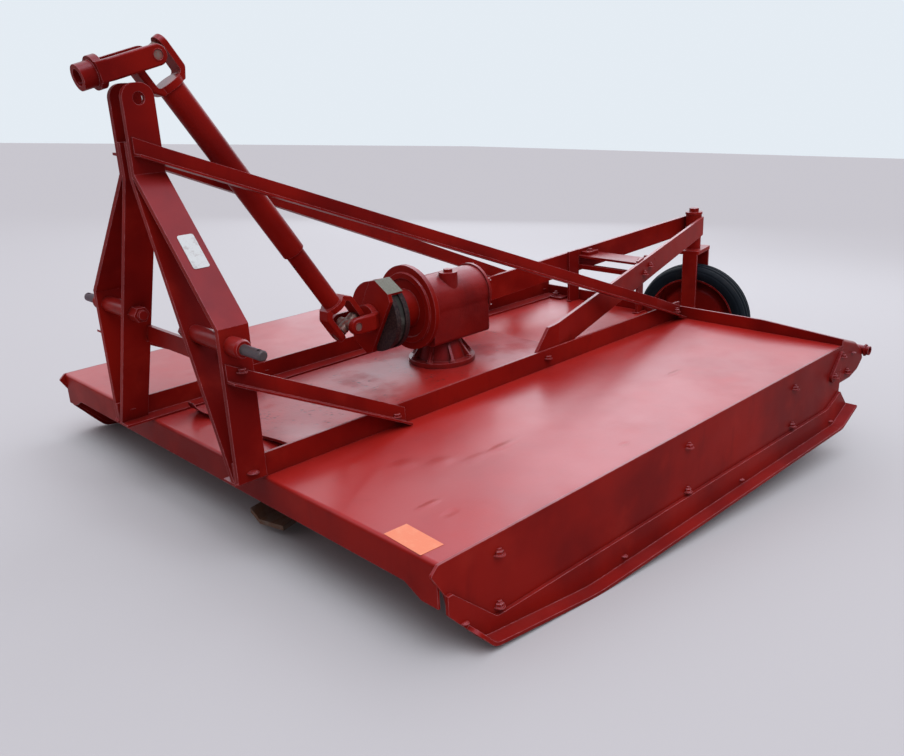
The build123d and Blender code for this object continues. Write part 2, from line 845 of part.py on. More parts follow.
# Gearbox housing: round body over a ribbed foot, with a filler boss and a spigot through the deck
gear_body_front = rotor_back - gear_body_reach
base_low = gear_plate_sheet
rib_low = base_low + gear_base_thick
with BuildPart() as foot_rib:
    with BuildSketch(Plane.XZ):
        with BuildLine():
            Polyline(
                (gear_neck_radius - gear_rib_root, rib_low),
                (gear_rib_reach, rib_low),
                (gear_rib_reach, rib_low + gear_rib_toe),
                (gear_neck_radius, gear_body_low),
                (gear_neck_radius - gear_rib_root, gear_body_low),
                close=True,
            )
        make_face()
    extrude(amount=gear_rib_thick / 2, both=True)
body_back = gear_body_front + gear_body_length
with BuildPart() as gearbox:
    with BuildSketch(Plane.XY.offset(base_low)):
        with Locations((-rotor_back, 0)):
            Circle(gear_base_radius)
    extrude(amount=gear_base_thick)
    with Locations((-rotor_back, 0, (rib_low + gear_body_low) / 2)):
        Cone(gear_neck_foot, gear_neck_radius, gear_body_low - rib_low)
    with Locations((-rotor_back, 0)):
        with PolarLocations(0, gear_rib_count, start_angle=180 / gear_rib_count):
            add(foot_rib.part)
    with BuildSketch(Plane.YZ.offset(-body_back)):
        with Locations((0, gear_axis_height)):
            Circle(gear_body_radius)
        with Locations((0, (gear_axis_height + gear_body_low) / 2)):
            RectangleRounded(2 * gear_body_side, gear_axis_height - gear_body_low, gear_body_corner)
        with Locations((0, gear_axis_height - gear_body_flat / 2)):
            Rectangle(2 * gear_body_side, gear_body_flat)
    extrude(amount=gear_body_length)
    with BuildSketch(Plane.YZ.offset(-gear_body_front)):
        with Locations((0, gear_axis_height)):
            Circle(boss_radius)
    extrude(amount=boss_length)
    with BuildSketch(Plane.XY.offset(gear_axis_height)):
        with Locations((-rotor_back - filler_back, filler_side)):
            Circle(filler_radius)
    extrude(amount=filler_top - gear_axis_height)
    with BuildSketch(Plane.XY.offset(-gear_spigot_drop)):
        with Locations((-rotor_back, 0)):
            Circle(gear_spigot_radius)
    extrude(amount=gear_spigot_drop + rib_low)
    with BuildSketch(Plane.XY.offset(-gear_spigot_drop)):
        with Locations((-rotor_back, 0)):
            Circle(output_shaft_radius + shaft_fit)
    extrude(amount=gear_spigot_drop + output_shaft_depth, mode=Mode.SUBTRACT)
keep(gearbox, "gearbox_housing")

# Domed cover on the back of the gearbox
input_axis = Axis((0, 0, gear_axis_height), (1, 0, 0))
input_side = Plane(origin=(0, 0, gear_axis_height), x_dir=(1, 0, 0), z_dir=(0, -1, 0))
with BuildPart() as gearbox_cap:
    with BuildSketch(input_side):
        with BuildLine():
            FilletPolyline(
                (-body_back, 0),
                (-body_back, cap_radius),
                (-body_back - cap_thick, cap_radius),
                (-body_back - cap_thick, cap_radius - cap_rim),
                (-body_back - cap_thick - cap_dome, cap_radius - 2 * cap_rim),
                (-body_back - cap_thick - cap_dome, 0),
                radius=[0, 0, cap_round / 4, 0, cap_round, 0],
                close=True,
            )
        make_face()
    revolve(axis=input_axis)
keep(gearbox_cap, "gearbox_cap")

# Filler plug
with BuildPart() as filler_plug:
    with BuildSketch(Plane.XY.offset(filler_top)):
        with Locations((-rotor_back - filler_back, filler_side)):
            RegularPolygon(filler_radius / 2, 6)
    extrude(amount=filler_plug_height)
keep(filler_plug, "filler_plug")

# Input flange with a raised ring on its face, and the hub that carries the clutch
flange_back = gear_body_front - boss_length
flange_face = flange_back - flange_thick
hub_end = flange_face - flange_hub_length
with BuildPart() as input_flange:
    with BuildSketch(input_side):
        with BuildLine():
            Polyline(
                (-flange_back, 0),
                (-flange_back, flange_radius - flange_chamfer),
                (-flange_back + flange_chamfer, flange_radius),
                (-flange_face, flange_radius),
                (-flange_face, flange_ring_outer),
                (-flange_face + flange_ring_rise, flange_ring_outer - flange_ring_slope),
                (-flange_face + flange_ring_rise, flange_ring_inner + flange_ring_slope),
                (-flange_face, flange_ring_inner),
                (-flange_face, flange_hub_radius + flange_chamfer),
                (-hub_end, flange_hub_radius),
                (-hub_end, 0),
                close=True,
            )
        make_face()
    revolve(axis=input_axis)
keep(input_flange, "input_flange")

# Clutch: a pair of round discs on one core, with the ring of lining between them
disc_front = hub_end - 2 * disc_thick - lining_thick
with BuildPart() as clutch_discs:
    with BuildSketch(input_side):
        with BuildLine():
            Polyline(
                (-hub_end, 0),
                (-hub_end, disc_radius),
                (-hub_end + disc_thick, disc_radius),
                (-hub_end + disc_thick, disc_core_radius),
                (-hub_end + disc_thick + lining_thick, disc_core_radius),
                (-hub_end + disc_thick + lining_thick, disc_radius),
                (-disc_front, disc_radius),
                (-disc_front, 0),
                close=True,
            )
        make_face()
    revolve(axis=input_axis)
keep(clutch_discs, "clutch_discs")

with BuildPart() as clutch_lining:
    with BuildSketch(Plane.YZ.offset(-hub_end + disc_thick)):
        with Locations((0, gear_axis_height)):
            Circle(lining_radius)
            Circle(disc_core_radius + running_gap, mode=Mode.SUBTRACT)
    extrude(amount=lining_thick)
keep(clutch_lining, "clutch_lining")

# Pressure plate: a long eight-sided plate, with a lug at each end bent back over the discs
plate_front = disc_front - plate_thick
plate_chamfer = plate_half_width - plate_end_width / 2
plate_back_plane = Plane(
    origin=(-disc_front, 0, gear_axis_height),
    x_dir=(0, cos(radians(plate_turn)), -sin(radians(plate_turn))),
    z_dir=(1, 0, 0),
)
with BuildPart() as clutch_plate:
    with BuildSketch(plate_back_plane):
        Rectangle(2 * plate_half_width, 2 * plate_half_length)
        chamfer(vertices(), plate_chamfer)
    extrude(amount=plate_thick)
    with BuildSketch(plate_back_plane):
        with Locations(
            (0, plate_half_length - lug_steel / 2),
            (0, -plate_half_length + lug_steel / 2),
        ):
            Rectangle(plate_end_width, lug_steel)
    extrude(amount=-lug_reach)
keep(clutch_plate, "clutch_plate")


def fork_yoke(web, web_thick, radius):
    """A yoke about the origin: ears at each side in X, the web square to Z at this distance."""
    ear_outside = ear_inside + ear_steel
    with BuildPart() as made:
        with BuildSketch(Plane.XZ):
            with BuildLine():
                rounded_outline(
                    (
                        (ear_outside, -ear_radius, 0),
                        (ear_outside, web - yoke_shoulder, yoke_bend + ear_round),
                        (radius, web + web_thick, 0),
                        (-radius, web + web_thick, 0),
                        (-ear_outside, web - yoke_shoulder, yoke_bend + ear_round),
                        (-ear_outside, -ear_radius, 0),
                        (-ear_inside, -ear_radius, 0),
                        (-ear_inside, web, yoke_bend),
                        (ear_inside, web, yoke_bend),
                        (ear_inside, -ear_radius, 0),
                    )
                )
            make_face()
        extrude(amount=ear_radius, both=True)
        with BuildSketch(Plane.YZ):
            Circle(ear_radius)
            with Locations((0, web)):
                Rectangle(2 * ear_radius, 2 * web)
        extrude(amount=2 * ear_outside, both=True, mode=Mode.INTERSECT)
        with BuildSketch(Plane.XY.offset(web)):
            Circle(radius)
        extrude(amount=web_thick)
        for outside in (made.faces().sort_by(Axis.X)[-1], made.faces().sort_by(Axis.X)[0]):
            fillet(outside.edges(), ear_round)
        with BuildSketch(Plane.YZ):
            Circle(cross_radius + shaft_fit)
        extrude(amount=2 * ear_outside, both=True, mode=Mode.SUBTRACT)
    return made.part


def joint_cross():
    """The cross in the middle of a universal joint, its four journals along X and Y."""
    reach = ear_inside + ear_steel - cross_sunk
    with BuildPart() as made:
        with BuildSketch(Plane.YZ):
            Circle(cross_radius)
        extrude(amount=reach, both=True)
        with BuildSketch(Plane.XZ):
            Circle(cross_radius)
        extrude(amount=reach, both=True)
        with BuildSketch(Plane.YZ):
            Circle(cross_block)
        extrude(amount=ear_inside - cross_play, both=True)
        with BuildSketch(Plane.XZ):
            Circle(cross_block)
        extrude(amount=ear_inside - cross_play, both=True)
    return made.part


# Directions of the power shaft: both joints turn about Y, and the shaft's own ears lie square to Y
lower_joint_back = rotor_back - lower_joint_ahead
lower_joint = Vector(-lower_joint_back, 0, gear_axis_height)
upper_joint = Vector(-upper_joint_back, -upper_joint_side, mast_height + joint_over_mast)
shaft_way = (upper_joint - lower_joint).normalized()
shaft_length = (upper_joint - lower_joint).length
ear_way = Vector(shaft_way.Z, 0, -shaft_way.X).normalized()
droop = radians(tractor_yoke_droop)
tractor_way = Vector(cos(droop), 0, -sin(droop))
lower_end = Plane(origin=lower_joint, x_dir=ear_way, z_dir=shaft_way)
upper_end = Plane(origin=upper_joint, x_dir=ear_way, z_dir=-shaft_way)
clutch_end = Plane(origin=lower_joint, x_dir=(0, 1, 0), z_dir=(-1, 0, 0))
tractor_end = Plane(origin=upper_joint, x_dir=(0, 1, 0), z_dir=tractor_way)

# Clutch yoke, fast to the pressure plate
with BuildPart() as clutch_yoke:
    with Locations(clutch_end.location):
        add(fork_yoke(yoke_web, plate_front - lower_joint_back - yoke_web, clutch_hub_radius))
keep(clutch_yoke, "clutch_yoke")

# Crosses of the two universal joints
for label, centre in (("cross_lower", lower_joint), ("cross_upper", upper_joint)):
    with BuildPart() as cross:
        with Locations(Plane(origin=centre, x_dir=ear_way, z_dir=ear_way.cross(Vector(0, 1, 0))).location):
            add(joint_cross())
    keep(cross, label)

# Inner shaft: yoke and tube, with two cross holes
yoke_back = yoke_web + yoke_web_thick
inner_end = outer_tube_start + tube_overlap
with BuildPart() as shaft_inner:
    with Locations(lower_end.location):
        add(fork_yoke(yoke_web, yoke_web_thick, shaft_yoke_radius))
    with BuildSketch(lower_end.offset(yoke_back)):
        Circle(inner_tube_radius)
    extrude(amount=inner_end - yoke_back)
    with BuildSketch(lower_end.offset(yoke_back + inner_tube_wall)):
        Circle(inner_tube_radius - inner_tube_wall)
    extrude(amount=inner_end - yoke_back, mode=Mode.SUBTRACT)
    shaft_side = Plane(origin=lower_joint, x_dir=shaft_way, z_dir=ear_way)
    with BuildSketch(shaft_side):
        with Locations((outer_tube_start - near_hole, 0), (outer_tube_start - far_hole, 0)):
            Circle(shaft_hole_radius)
    extrude(amount=2 * inner_tube_radius, both=True, mode=Mode.SUBTRACT)
keep(shaft_inner, "shaft_inner")

# Outer shaft: sleeve over the inner tube, and the upper yoke
sleeve_end = shaft_length - yoke_back
with BuildPart() as shaft_outer:
    with Locations(upper_end.location):
        add(fork_yoke(yoke_web, yoke_web_thick, shaft_yoke_radius))
    with BuildSketch(lower_end.offset(outer_tube_start)):
        Circle(outer_tube_radius)
    extrude(amount=sleeve_end - outer_tube_start)
    with BuildSketch(lower_end.offset(outer_tube_start)):
        Circle(inner_tube_radius + shaft_fit)
    extrude(amount=sleeve_end - outer_tube_start - inner_tube_wall, mode=Mode.SUBTRACT)
keep(shaft_outer, "shaft_outer")

# Tractor yoke with its bore for the power take-off and the hole of its locking pin
collar_start = tractor_yoke_web + yoke_web_thick - 2
collar_end = collar_start + tractor_collar_length
with BuildPart() as tractor_yoke:
    with Locations(tractor_end.location):
        add(fork_yoke(tractor_yoke_web, yoke_web_thick, tractor_yoke_radius))
    with BuildSketch(tractor_end.offset(collar_start)):
        Circle(tractor_collar_radius)
    extrude(amount=tractor_collar_length)
    with BuildSketch(tractor_end.offset(tractor_yoke_web - 1)):
        Circle(drive_bore_radius)
    extrude(amount=collar_end - tractor_yoke_web + 2, mode=Mode.SUBTRACT)
    with BuildSketch(Plane(origin=upper_joint, x_dir=tractor_way, z_dir=(sin(droop), 0, cos(droop)))):
        with Locations((collar_start + tractor_lock_hole, 0)):
            Circle(shaft_hole_radius)
    extrude(amount=2 * tractor_collar_radius, mode=Mode.SUBTRACT)
keep(tractor_yoke, "tractor_yoke")

# Rotor hub with the output shaft that runs up into the gearbox
hub_top = -gear_spigot_drop - running_gap
carrier_low = -carrier_height - carrier_steel
with BuildPart() as rotor_hub:
    with BuildSketch(Plane.XY.offset(-carrier_height)):
        with Locations((-rotor_back, 0)):
            Circle(rotor_hub_radius)
    extrude(amount=hub_top + carrier_height)
    with BuildSketch(Plane.XY.offset(hub_top)):
        with Locations((-rotor_back, 0)):
            Circle(output_shaft_radius)
    extrude(amount=output_shaft_depth - running_gap - hub_top)
keep(rotor_hub, "rotor_hub")

# Blade carrier with its nut and the two pins that the blades hang from
start_turn = radians(blade_start_angle)
rotor = Plane(origin=(-rotor_back, 0, 0), x_dir=(cos(start_turn), sin(start_turn), 0), z_dir=(0, 0, 1))
blade_top = carrier_low - running_gap
blade_low = blade_top - blade_steel
with BuildPart() as carrier:
    with BuildSketch(rotor.offset(carrier_low)):
        SlotCenterToCenter(2 * blade_pivot, carrier_width)
    extrude(amount=carrier_steel)
    with BuildSketch(rotor.offset(carrier_low)):
        RegularPolygon(carrier_nut_radius, 6)
    extrude(amount=-carrier_steel)
    with BuildSketch(rotor.offset(carrier_low)):
        with Locations((blade_pivot, 0), (-blade_pivot, 0)):
            Circle(blade_pin_radius)
    extrude(amount=-blade_steel - 2 * running_gap)
    with BuildSketch(rotor.offset(blade_low - running_gap)):
        with Locations((blade_pivot, 0), (-blade_pivot, 0)):
            Circle(blade_pin_head)
    extrude(amount=-blade_steel)
keep(carrier, "blade_carrier")

# Two blades, straight out, each with its trailing edge turned up at the tip
for label, hand in (("blade_a", 1), ("blade_b", -1)):
    heading = rotor.x_dir * hand
    blade_plane = Plane(origin=(-rotor_back, 0, blade_low), x_dir=heading, z_dir=(0, 0, 1))
    wing_section = Plane(
        origin=blade_plane.from_local_coords(Vector(blade_tip, 0, 0)),
        x_dir=blade_plane.y_dir,
        z_dir=-heading,
    )
    with BuildPart() as blade:
        with BuildSketch(blade_plane):
            with Locations((blade_pivot, 0)):
                Circle(blade_width / 2)
            with Locations(((blade_pivot + blade_tip) / 2, 0)):
                Rectangle(blade_tip - blade_pivot, blade_width)
            with Locations((blade_pivot, 0)):
                Circle(blade_pin_radius + shaft_fit, mode=Mode.SUBTRACT)
        extrude(amount=blade_steel)
        with BuildSketch(wing_section):
            with BuildLine():
                Polyline(
                    (-blade_width / 2 + 2, 0),
                    (-blade_width / 2 - blade_wing, -blade_wing),
                    (-blade_width / 2 - blade_wing, -blade_wing - blade_steel),
                    (-blade_width / 2 + 2, -blade_steel),
                    close=True,
                )
            make_face()
        extrude(amount=blade_wing_length)
    keep(blade, label)

# Parked: nose down until the gentle bend of the skids and the tyre's crown stand on one level
toe_turn = atan((skid_drop - skid_toe_low) / (skid_flat_start - skid_toe))
toe_centre_x = -skid_flat_start - skid_arc * tan(toe_turn / 2)
toe_centre_z = skid_arc - skid_drop
run = wheel_centre.X - toe_centre_x
fall = toe_centre_z - wheel_centre.Z
pitch = 0
for _ in range(8):
    lean = asin(caster.y_dir.X * sin(pitch))
    wheel_reach = (wheel_radius - wheel_crown) * cos(lean) + wheel_crown
    pitch = atan2(run, fall) + acos((skid_arc - wheel_reach) / hypot(run, fall))
turned = Location((0, 0, 0), (0, degrees(pitch), 0))
boxes = [(turned * piece).bounding_box() for piece in pieces]
middle = (min(box.min.X for box in boxes) + max(box.max.X for box in boxes)) / 2
lift = toe_centre_x * sin(pitch) - toe_centre_z * cos(pitch) + skid_arc
parked = Location((-middle, 0, lift), (0, degrees(pitch), 0))

for piece in pieces:
    placed = parked * piece
    placed.label = piece.label
    export_step(placed, f"parts/{piece.label}.step")
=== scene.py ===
import json
import math
import bmesh
import bpy
from mathutils import Matrix, Vector, noise


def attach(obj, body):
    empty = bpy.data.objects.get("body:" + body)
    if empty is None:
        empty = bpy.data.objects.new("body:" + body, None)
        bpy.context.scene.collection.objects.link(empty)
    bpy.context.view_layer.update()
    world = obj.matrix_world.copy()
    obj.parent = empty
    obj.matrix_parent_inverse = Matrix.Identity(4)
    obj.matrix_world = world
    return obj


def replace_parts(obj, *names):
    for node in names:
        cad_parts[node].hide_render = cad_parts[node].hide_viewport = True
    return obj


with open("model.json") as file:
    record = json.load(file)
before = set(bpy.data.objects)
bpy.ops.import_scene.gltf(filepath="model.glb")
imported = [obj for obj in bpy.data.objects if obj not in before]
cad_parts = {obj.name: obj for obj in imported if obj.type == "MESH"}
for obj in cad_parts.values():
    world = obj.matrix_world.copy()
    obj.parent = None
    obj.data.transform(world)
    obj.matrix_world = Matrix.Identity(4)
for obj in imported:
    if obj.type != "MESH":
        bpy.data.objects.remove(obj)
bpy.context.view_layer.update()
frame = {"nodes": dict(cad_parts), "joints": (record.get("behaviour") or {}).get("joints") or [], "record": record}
scene = bpy.context.scene
print("frame loaded:", len(frame["nodes"]), "CAD nodes")

# The machine parks nose down. The axes of its level deck come from the rotor's joint, and
# places on the machine are written in millimetres from the middle of the deck's front edge.
rotorJoint = next(j for j in frame["joints"] if j["name"] == "rotor_spin")
rotorPlace = {"along": -797, "up": -100}
mm = 0.001
deckUp = Vector(rotorJoint["axis"])
deckForward = Vector((deckUp.z, 0, -deckUp.x))
rotorOffset = mm * (rotorPlace["along"] * deckForward + rotorPlace["up"] * deckUp)
deckCorner = Vector(rotorJoint["pos_m"]) - rotorOffset
deckTurn = Matrix((deckForward, Vector((0, 1, 0)), deckUp)).transposed()
deckToRow = Matrix.Translation(deckCorner) @ deckTurn.to_4x4() @ Matrix.Scale(mm, 4)

# Camera at the photograph's view
cameraView = {"spot": (877.4, 1829.2, 796.5), "yaw": 226.92, "pitch": 18.94, "roll": -2.84,
              "lens": 34.93, "sensor": 36, "clip": (0.05, 100)}


def makeCamera(view):
    yaw, pitch, roll = (math.radians(view[k]) for k in ("yaw", "pitch", "roll"))
    ahead = Vector((math.cos(yaw) * math.cos(pitch), math.sin(yaw) * math.cos(pitch), -math.sin(pitch)))
    level = Vector((math.sin(yaw), -math.cos(yaw), 0))
    above = level.cross(ahead)
    right = math.cos(roll) * level + math.sin(roll) * above
    up = math.cos(roll) * above - math.sin(roll) * level
    turn = deckTurn @ Matrix((right, up, -ahead)).transposed()
    camera = bpy.data.objects.new("camera", bpy.data.cameras.new("camera"))
    camera.data.lens = view["lens"]
    camera.data.sensor_width = view["sensor"]
    camera.data.clip_start, camera.data.clip_end = view["clip"]
    camera.matrix_world = Matrix.Translation(deckToRow @ Vector(view["spot"])) @ turn.to_4x4()
    scene.collection.objects.link(camera)
    scene.camera = camera


makeCamera(cameraView)


# Node helpers: settings are the node's own, inputs are values or sockets to link
def addNode(tree, kind, settings={}, inputs={}):
    made = tree.nodes.new(kind)
    for name, value in settings.items():
        setattr(made, name, value)
    for name, value in inputs.items():
        if isinstance(value, bpy.types.NodeSocket):
            tree.links.new(value, made.inputs[name])
        else:
            made.inputs[name].default_value = value
    return made


def outNode(tree, kind, settings={}, inputs={}):
    return addNode(tree, kind, settings, inputs).outputs[0]


def maths(tree, operation, first, second=0.0, clamp=False):
    return outNode(tree, "ShaderNodeMath", {"operation": operation, "use_clamp": clamp},
                   {0: first, 1: second})


def mixColour(tree, share, first, second):
    return addNode(tree, "ShaderNodeMix", {"data_type": "RGBA"}, {0: share, 6: first, 7: second}).outputs[2]


def product(tree, first, second, clamp=False):
    return maths(tree, "MULTIPLY", first, second, clamp)


def rest(tree, value):
    return maths(tree, "SUBTRACT", 1.0, value)


def vectorMaths(tree, operation, first, second=None, output="Vector"):
    inputs = {0: first} if second is None else {0: first, 1: second}
    return addNode(tree, "ShaderNodeVectorMath", {"operation": operation}, inputs).outputs[output]


def objectPlace(tree):
    return addNode(tree, "ShaderNodeTexCoord").outputs["Object"]


def upShare(tree):
    normal = addNode(tree, "ShaderNodeNewGeometry").outputs["Normal"]
    return addNode(tree, "ShaderNodeSeparateXYZ", inputs={0: normal}).outputs[2]


# A value brought to 0 at low and 1 at high
def ramp(tree, value, low, high):
    made = addNode(tree, "ShaderNodeMapRange", {"interpolation_type": "SMOOTHSTEP"},
                   {"Value": value, "From Min": low, "From Max": high})
    return made.outputs["Result"]


def noiseOf(tree, place, scale, detail=3.0, roughness=0.55, stretch=(1, 1, 1), shift=(0, 0, 0)):
    if tuple(stretch) != (1, 1, 1) or tuple(shift) != (0, 0, 0):
        place = outNode(tree, "ShaderNodeMapping", inputs={"Vector": place, "Scale": stretch,
                                                            "Location": shift})
    return outNode(tree, "ShaderNodeTexNoise", inputs={"Vector": place, "Scale": scale, "Detail": detail,
                                                       "Roughness": roughness})


def feed(tree, sockets, **values):
    for name, value in values.items():
        tree.links.new(value, sockets[name.replace("_", " ")])


# Ins give a socket's label, kind and starting value, outs its label and kind
def newGroup(name, kind, ins, outs):
    group = bpy.data.node_groups.new(name, kind)
    for label, socketKind, value in ins:
        socket = group.interface.new_socket(label, in_out="INPUT", socket_type="NodeSocket" + socketKind)
        if value is not None:
            socket.default_value = value
    for label, socketKind in outs:
        group.interface.new_socket(label, in_out="OUTPUT", socket_type="NodeSocket" + socketKind)
    return group, group.nodes.new("NodeGroupInput").outputs, group.nodes.new("NodeGroupOutput").inputs


# The dark of dirt and painted shade in corners, and of dirt in craters
shadeAndDirtTone = (0.022, 0.012, 0.009, 1)
# How fine each pattern of the paint is, in waves to a metre, the limits between which it shows,
# and how much of it shows
skinScale = {"patches": 3.1, "runs": 1.0, "bloom": 7.0, "pits": 190.0, "pitPatches": 5.5, "craters": 72.0,
             "craterPatches": 13, "peel": 130, "ripple": 21}
skinLimits = {"patches": (0.36, 0.68), "runs": (0.55, 0.8), "bloom": (0.52, 0.8), "pits": (0.05, 0.42),
              "pitPatches": (0.48, 0.7), "craters": (0.2, 0.4), "craterPatches": (0.49, 0.62)}
skinShare = {"runs": 0.45, "bloom": 0.5, "pits": 0.5, "bloomRough": 0.22, "pitRough": 0.18, "ripple": 0.5,
             "pitDepth": 1.4}


# Patches, runs, pits and orange peel of brushed-on paint, with rust craters where asked for
def makePaintSkin(scale, limits, part):
    group, given, out = newGroup("paintSkin", "ShaderNodeTree", [
        ("Colour", "Color", None), ("Shade", "Color", None), ("Bloom", "Color", None),
        ("Pits", "Float", 0.3), ("Peel", "Float", 0.3), ("Craters", "Float", 0.0)],
        [("Colour", "Color"), ("Roughness", "Float"), ("Height", "Float"), ("Craters", "Float")])
    place, smooth = objectPlace(group), {"detail": 2, "roughness": 0.5}

    def limited(name, value):
        return ramp(group, value, *limits[name])

    def cells(name):
        return addNode(group, "ShaderNodeTexVoronoi", inputs={"Vector": place, "Scale": scale[name],
                                                              "Randomness": 1.0}).outputs["Distance"]

    patches = noiseOf(group, place, scale["patches"], detail=4)
    runs = noiseOf(group, place, scale["runs"], stretch=(24, 24, 5), shift=(0.3, 0.7, 0.1))
    bloom = noiseOf(group, place, scale["bloom"], detail=6, roughness=0.6, shift=(4.2, 1.3, 2.7))
    pitPatches = noiseOf(group, place, scale["pitPatches"], shift=(9.1, 2.2, 5.3))
    pitted = product(group, limited("pitPatches", pitPatches), given["Pits"])
    pits = product(group, rest(group, limited("pits", cells("pits"))), pitted)
    craterPatches = noiseOf(group, place, scale["craterPatches"], detail=5, roughness=0.7,
                            shift=(2.9, 6.2, 0.8))
    cratered = product(group, limited("craterPatches", craterPatches), given["Craters"])
    craters = product(group, rest(group, limited("craters", cells("craters"))), cratered, True)
    peel = product(group, noiseOf(group, place, scale["peel"], **smooth), given["Peel"])
    ripple = noiseOf(group, place, scale["ripple"], **smooth)
    shaded = mixColour(group, limited("patches", patches), given["Colour"], given["Shade"])
    streaked = mixColour(group, product(group, limited("runs", runs), part["runs"]), shaded, given["Shade"])
    bloomed = mixColour(group, product(group, limited("bloom", bloom), part["bloom"]), streaked,
                        given["Bloom"])
    darker = mixColour(group, product(group, pits, part["pits"]), bloomed, given["Shade"])
    raised = maths(group, "ADD", peel, product(group, ripple, part["ripple"]))
    sunk = maths(group, "SUBTRACT", raised, product(group, pits, part["pitDepth"]))
    feed(group, out, Colour=mixColour(group, craters, darker, shadeAndDirtTone), Craters=craters,
         Roughness=maths(group, "ADD", product(group, bloom, part["bloomRough"]),
                         product(group, pitted, part["pitRough"])),
         Height=maths(group, "SUBTRACT", sunk, craters))
    return group


edgeLook = {"samples": 4, "gain": 5.0, "detail": 4.0, "grain": (0.4, 0.7), "grainShare": 0.45}


# Edges picked out in patches for a painted highlight, and a rounded normal: the rounded normal leaves the true one
# only near an edge
def makeEdgeHighlight(look):
    group, given, out = newGroup("edgeWear", "ShaderNodeTree", [
        ("Width", "Float", 0.002), ("Amount", "Float", 0.5), ("Grain", "Float", 60.0)],
        [("Mask", "Float"), ("Normal", "Vector")])
    rounded = outNode(group, "ShaderNodeBevel", {"samples": look["samples"]},
                      {"Radius": given["Width"]})
    flat = addNode(group, "ShaderNodeNewGeometry").outputs["Normal"]
    facing = vectorMaths(group, "DOT_PRODUCT", rounded, flat, "Value")
    place = objectPlace(group)
    grain = outNode(group, "ShaderNodeTexNoise", inputs={"Vector": place, "Scale": given["Grain"],
                                                         "Detail": look["detail"]})
    edge = product(group, rest(group, facing), look["gain"], True)
    whole = rest(group, ramp(group, grain, *look["grain"]))
    # The painted highlight along edges, broken up by the grain
    brokenEdge = maths(group, "SUBTRACT", edge, product(group, whole, look["grainShare"]), True)
    feed(group, out, Mask=product(group, brokenEdge, given["Amount"], True), Normal=rounded)
    return group


shadeDirtAndDustLook = {"samples": 6, "mottleScale": 34, "mottle": (0.25, 0.6), "speckScale": 11,
             "specks": (0.42, 0.75), "facingUp": (0.3, 1.0)}


# Dirt and painted shade in corners, found by ambient occlusion and mottled, and thin dust on what faces up
def makeShadeDirtAndDust(look):
    group, given, out = newGroup("grime", "ShaderNodeTree", [
        ("Reach", "Float", 0.03), ("Corners", "Float", 0.6), ("Dust", "Float", 0.1)],
        [("Corners", "Float"), ("Dust", "Float")])
    place = objectPlace(group)
    hidden = addNode(group, "ShaderNodeAmbientOcclusion", {"samples": look["samples"], "only_local": False},
                     {"Distance": given["Reach"]}).outputs["AO"]
    mottle = noiseOf(group, place, look["mottleScale"], detail=4, roughness=0.65, shift=(1.7, 8.1, 3.3))
    corner = product(group, rest(group, hidden), ramp(group, mottle, *look["mottle"]))
    specks = noiseOf(group, place, look["speckScale"], detail=6, roughness=0.7, shift=(6.6, 0.4, 1.9))
    level = ramp(group, upShare(group), *look["facingUp"])
    dusty = product(group, level, ramp(group, specks, *look["specks"]))
    feed(group, out, Corners=product(group, corner, given["Corners"], True),
         Dust=product(group, dusty, given["Dust"], True))
    return group


paintSkin = makePaintSkin(skinScale, skinLimits, skinShare)
edgeWear, grime = makeEdgeHighlight(edgeLook), makeShadeDirtAndDust(shadeDirtAndDustLook)


def useGroup(tree, group, **values):
    return addNode(tree, "ShaderNodeGroup", {"node_tree": group},
                   {name.replace("_", " "): value for name, value in values.items()}).outputs


def newMaterial(name, look, kind="ShaderNodeBsdfPrincipled"):
    material = bpy.data.materials.new(name)
    material.use_nodes = True
    tree = material.node_tree
    tree.nodes.clear()
    shader = addNode(tree, kind, inputs=look)
    addNode(tree, "ShaderNodeOutputMaterial", inputs={"Surface": shader.outputs[0]})
    return material, tree, shader.inputs


bumpStrength = 0.5


def bumpOf(tree, height, strength, distance, **normal):
    return outNode(tree, "ShaderNodeBump", inputs={"Height": height, "Strength": strength,
                                                   "Distance": distance, **normal})


# How much rougher the paint is in the darkened corners
cornerRough = 0.3
bareSteel = (0.11, 0.075, 0.06, 1)
# Thin dust, and the brighter red painted on faces that look up as painted light from above
dustTone = (0.42, 0.3, 0.26, 1)
topLightTone = (0.6, 0.02, 0.012, 1)
# Coat and shine are those of upright faces, topCoat and topShine those of faces that look up
# edge is the pink of the painted highlight along edges
redCoat = {"colour": (0.24, 0.0085, 0.005, 1), "shade": (0.14, 0.005, 0.004, 1),
           "bloom": (0.32, 0.02, 0.012, 1), "edge": (0.66, 0.26, 0.28, 1), "pits": 0.35, "peel": 0.35,
           "craters": 0.0, "rough": 0.24, "wear": 0.9, "corners": 0.35, "dust": 0.02, "sunned": 0.06,
           "bump": 0.0004, "coat": 0.0, "topCoat": 0.38, "shine": 0.045, "topShine": 0.85}
# Dents and creases in the deck: half length and half width in millimetres, depth as a share of dentDepth
dentColumns = ("along", "across", "long", "wide", "depth")
dentTable = [(-143, 651, 42, 14, 1.0), (-148, 708, 30, 16, -0.8), (-1119, 587, 46, 15, 1.0),
             (-457, 565, 60, 18, 0.9), (-633, 768, 22, 12, -0.7), (-620, 420, 150, 90, -0.9),
             (-1290, 520, 120, 70, 0.8), (-300, -520, 90, 40, 0.9), (-236, 470, 40, 34, 0.8),
             (-300, 522, 46, 30, 0.8), (-368, 566, 48, 24, 0.8), (-440, 568, 50, 16, 0.7),
             (-980, -610, 130, 60, -0.9), (-820, 640, 170, 60, 0.6)]
dentDepth = 9.0
dents = [dict(zip(dentColumns, row)) for row in dentTable]
# The slip clutch's plate is laid over from upright, and its lugs' outer faces are bare
plateLean = math.radians(31)
lugDirection = deckTurn @ Vector((0, math.sin(plateLean), math.cos(plateLean)))
pinShoulder = 0.3415
# The paint's sheen is pink, and whole only where a face looks up by more than the second limit
sheenTint = (1, 0.66, 0.88, 1)
levelLimits = (0.3, 0.95)
